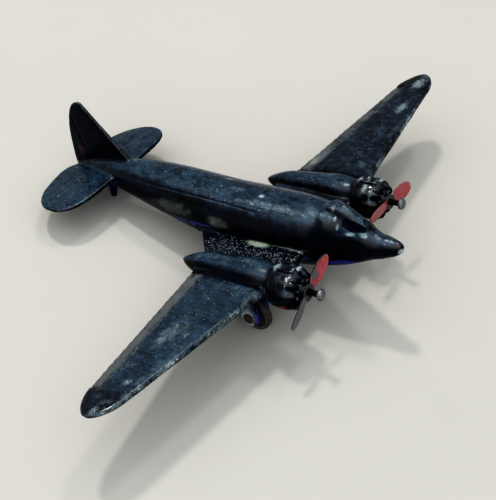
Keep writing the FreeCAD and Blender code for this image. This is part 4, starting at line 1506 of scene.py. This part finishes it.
def outward(mesh: bpy.types.Mesh) -> bpy.types.Mesh:
    """Merges the doubles of a closed mesh and points its faces outwards.

    Args:
        mesh: the mesh.

    Returns:
        The same mesh, put right.
    """
    work = bmesh.new()
    work.from_mesh(mesh)
    bmesh.ops.remove_doubles(work, verts=work.verts, dist=0.0005 * MM)
    bmesh.ops.dissolve_degenerate(work, edges=work.edges, dist=0.0001 * MM)
    bmesh.ops.recalc_face_normals(work, faces=work.faces)
    if work.calc_volume(signed=True) < 0.0:
        bmesh.ops.reverse_faces(work, faces=work.faces)
    work.to_mesh(mesh)
    work.free()
    return mesh


# ---------------------------------------------------------------- small turned pieces


@dataclass
class TurnedPiece:
    """A pin, axle, rivet or wheel: its CAD solid with rounded rims and a slightly beaten surface."""

    node: str
    name: str
    body: str
    slot: str
    material: bpy.types.Material
    voxel: float
    beaten: float
    seed: int
    rounds: int = 6

    def build(self) -> bpy.types.Object:
        """Builds and hands over the piece.

        Returns:
            The finished piece.
        """
        skin = Skin(self.node, self.voxel)
        skin.soften(self.rounds, 0.7)
        p = skin.points
        skin.press(self.beaten * fitful(p, 0.45, self.seed))
        p = skin.points
        low, high = p.min(0), p.max(0)
        if self.slot == "pin_steel":
            skin.add(Trace.METAL_AND_HIGHLIGHT, ease(p[:, 0], high[0] - 1.15, high[0] - 0.8))
        elif self.slot != "wheel_rubber":
            skin.add(Trace.METAL_AND_HIGHLIGHT, np.full(len(p), 0.85))
        else:
            centre = (low + high) / 2
            radius = np.hypot(p[:, 0] - centre[0], p[:, 2] - centre[2])
            side = np.abs(p[:, 1] - centre[1])
            rim = np.exp(-((radius - radius.max() + 0.75) / 0.22) ** 2) * ease(side, 0.55, 0.8)
            skin.add(Trace.METAL_AND_HIGHLIGHT, 0.62 * rim + 0.22 * ease(radius, radius.max() - 0.3, radius.max()))
        return skin.finish(self.name, self.material, self.body, self.slot)


# ---------------------------------------------------------------- table, light and camera


@dataclass(frozen=True)
class Lamp:
    """A round soft lamp that hangs over the table and lights the model; its power is in watts."""

    name: str
    spot: tuple[float, float, float]
    size: float
    power: float
    tint: Colour

    def hang(self) -> None:
        """Hangs the lamp, aimed at the model."""
        lamp = bpy.data.lights.new(self.name, "AREA")
        lamp.shape = "DISK"
        lamp.size = self.size
        lamp.energy = self.power
        lamp.color = self.tint
        aim = np.array([0.0, 0.0, 0.01]) - self.spot
        aim /= np.linalg.norm(aim)
        side = np.cross(aim, (0.0, 1.0, 0.0))
        side /= np.linalg.norm(side)
        stand(link(self.name, lamp), side, np.cross(side, aim), -aim, self.spot)


def stand(thing: bpy.types.Object, right: Sequence[float], up: Sequence[float], back: Sequence[float],
          spot: Sequence[float]) -> None:
    """Stands a lamp or camera at a spot, by the directions of its own three axes.

    Args:
        thing: the lamp or camera.
        right: where its right points.
        up: where its top points.
        back: where its back points.
        spot: where it stands, in metres.
    """
    thing.matrix_world = Matrix([[right[i], up[i], back[i], spot[i]] for i in range(3)] + [[0, 0, 0, 1]])


@dataclass(frozen=True)
class Studio:
    """The plain pale table, the soft lights and the camera."""

    table_colour: Colour = (0.455, 0.433, 0.400)
    table_shade: float = 0.955
    lens: float = 72.0
    sensor: float = 36.0
    camera_spot: tuple[float, float, float] = (124.713, -137.700, 124.205)
    camera_azimuth: float = -0.784793
    camera_elevation: float = 0.599048
    camera_roll: float = 0.272345
    dim: Colour = (0.22, 0.22, 0.22)
    bright: Colour = (1.35, 1.45, 1.50)
    bright_side: tuple[float, float, float] = (0.42, -0.52, 0.74)
    table_half: float = 1.6
    lamps: tuple[Lamp, ...] = (Lamp("window", (-0.22, 0.12, 0.78), 0.08, 1.42, (1.0, 0.965, 0.93)),
                               Lamp("second_window", (0.02, 0.34, 0.80), 0.10, 0.66, (1.0, 0.985, 0.97)),
                               Lamp("high_fill", (-0.55, -0.30, 0.75), 0.60, 0.45, (0.96, 0.98, 1.0)))

    def build(self) -> None:
        """Builds the table, the lights and the camera."""
        self.table()
        self.lights()
        self.camera()

    def table(self) -> None:
        """Lays the table that the model stands on."""
        half = self.table_half
        mesh = bpy.data.meshes.new("table")
        mesh.from_pydata([(-half, -half, 0), (half, -half, 0), (half, half, 0), (-half, half, 0)], [],
                         [(0, 1, 2, 3)])
        material, desk, shader = new_material("pale_table")
        uneven = desk.noise(desk.place(), 0.02, 3.0, 0.5)
        tone = desk.blend(uneven, self.table_colour, tuple(self.table_shade * c for c in self.table_colour))
        desk.links.new(tone, shader.inputs["Base Color"])
        shader.inputs["Roughness"].default_value = 0.62
        mesh.materials.append(material)
        link("table", mesh)

    def lights(self) -> None:
        """Hangs the soft lights."""
        world = bpy.data.worlds.new("room")
        world.use_nodes = True
        glow = next(node for node in world.node_tree.nodes if node.type == "BACKGROUND")
        desk = Desk(world.node_tree)
        way = desk.put("ShaderNodeTexCoord").outputs["Generated"]
        near = desk.put("ShaderNodeVectorMath", {0: way, 1: self.bright_side}, operation="DOT_PRODUCT")
        sky = desk.blend(desk.step(near.outputs["Value"], 0.25, 0.98), self.dim, self.bright)
        desk.links.new(sky, glow.inputs["Color"])
        glow.inputs["Strength"].default_value = 1.0
        bpy.context.scene.world = world
        for lamp in self.lamps:
            lamp.hang()

    def camera(self) -> None:
        """Stands the camera, whose place and aim are given in the aircraft's datum."""
        ce, se = math.cos(self.camera_elevation), math.sin(self.camera_elevation)
        aim = -np.array([ce * math.cos(self.camera_azimuth), ce * math.sin(self.camera_azimuth), se])
        across = np.cross(aim, (0.0, 0.0, 1.0))
        across /= np.linalg.norm(across)
        down = np.cross(aim, across)
        c, s = math.cos(self.camera_roll), math.sin(self.camera_roll)
        right = DATUM.turn() @ (c * across + s * down)
        up = DATUM.turn() @ (s * across - c * down)
        back = -DATUM.turn() @ aim
        spot = DATUM.to_world(np.array([self.camera_spot]))[0]
        data = bpy.data.cameras.new("camera")
        data.lens = self.lens
        data.sensor_width = self.sensor
        data.clip_start = 0.01
        thing = link("camera", data)
        stand(thing, right, up, back, spot)
        bpy.context.scene.camera = thing
        bpy.context.scene.view_settings.view_transform = "Standard"
        bpy.context.scene.view_settings.look = "Very High Contrast"


# ---------------------------------------------------------------- the whole model


def main() -> None:
    """Builds the model, the table, the lights and the camera."""
    logging.basicConfig(level=logging.INFO, format="%(name)s %(message)s")
    shop = Shop()
    paint = CastingPaint().build(shop)
    enamel = PropellerPaint().build(shop)
    rubber = WheelRubber().build(shop)
    pin = DullSteel("pin_steel", bright=(0.25, 0.26, 0.28), dark=(0.11, 0.115, 0.125), rust=(0.10, 0.085, 0.07),
                    rust_share=0.22, roughness=0.46).build(shop)
    rivet = DullSteel("rivet_steel", bright=(0.30, 0.31, 0.32), dark=(0.13, 0.13, 0.14), rust=(0.09, 0.05, 0.03),
                      rust_share=0.25, roughness=0.4).build(shop)
    axle = DullSteel("axle_steel", bright=(0.12, 0.085, 0.060), dark=(0.030, 0.021, 0.016),
                     rust=(0.070, 0.038, 0.024), rust_share=0.5, roughness=0.45, metallic=0.6).build(shop)
    FuselageCasting(material=paint).build()
    WingCasting(material=paint).build()
    propellers = (Propeller("left", turn=-96.0, rubbed_spot=(9.0, 3.0), lower_blade_bare=False, material=enamel),
                  Propeller("right", turn=-64.0, rubbed_spot=(3.7, -0.7), lower_blade_bare=True, material=enamel))
    for propeller, way in zip(propellers, (PORT, STARBOARD)):
        side = propeller.side
        propeller.build(PROPELLER_REAR, way * ENGINE_OFFSET)
        TurnedPiece(side + "_propeller_pin", side + "_mushroom_pin", "airframe", "pin_steel", pin,
                    voxel=0.09, beaten=0.02, seed=31).build()
        TurnedPiece(side + "_axle", side + "_peened_axle", "airframe", "axle_steel", axle,
                    voxel=0.10, beaten=0.05, seed=32).build()
        TurnedPiece(side + "_wheel", side + "_tyre", side + "_wheel", "wheel_rubber", rubber,
                    voxel=0.14, beaten=0.02, seed=33).build()
    for end in ("front", "rear"):
        TurnedPiece(end + "_rivet", end + "_belly_rivet", "airframe", "rivet_steel", rivet,
                    voxel=0.14, beaten=0.03, seed=34).build()
    Studio().build()


if __name__ == "__main__":
    main()
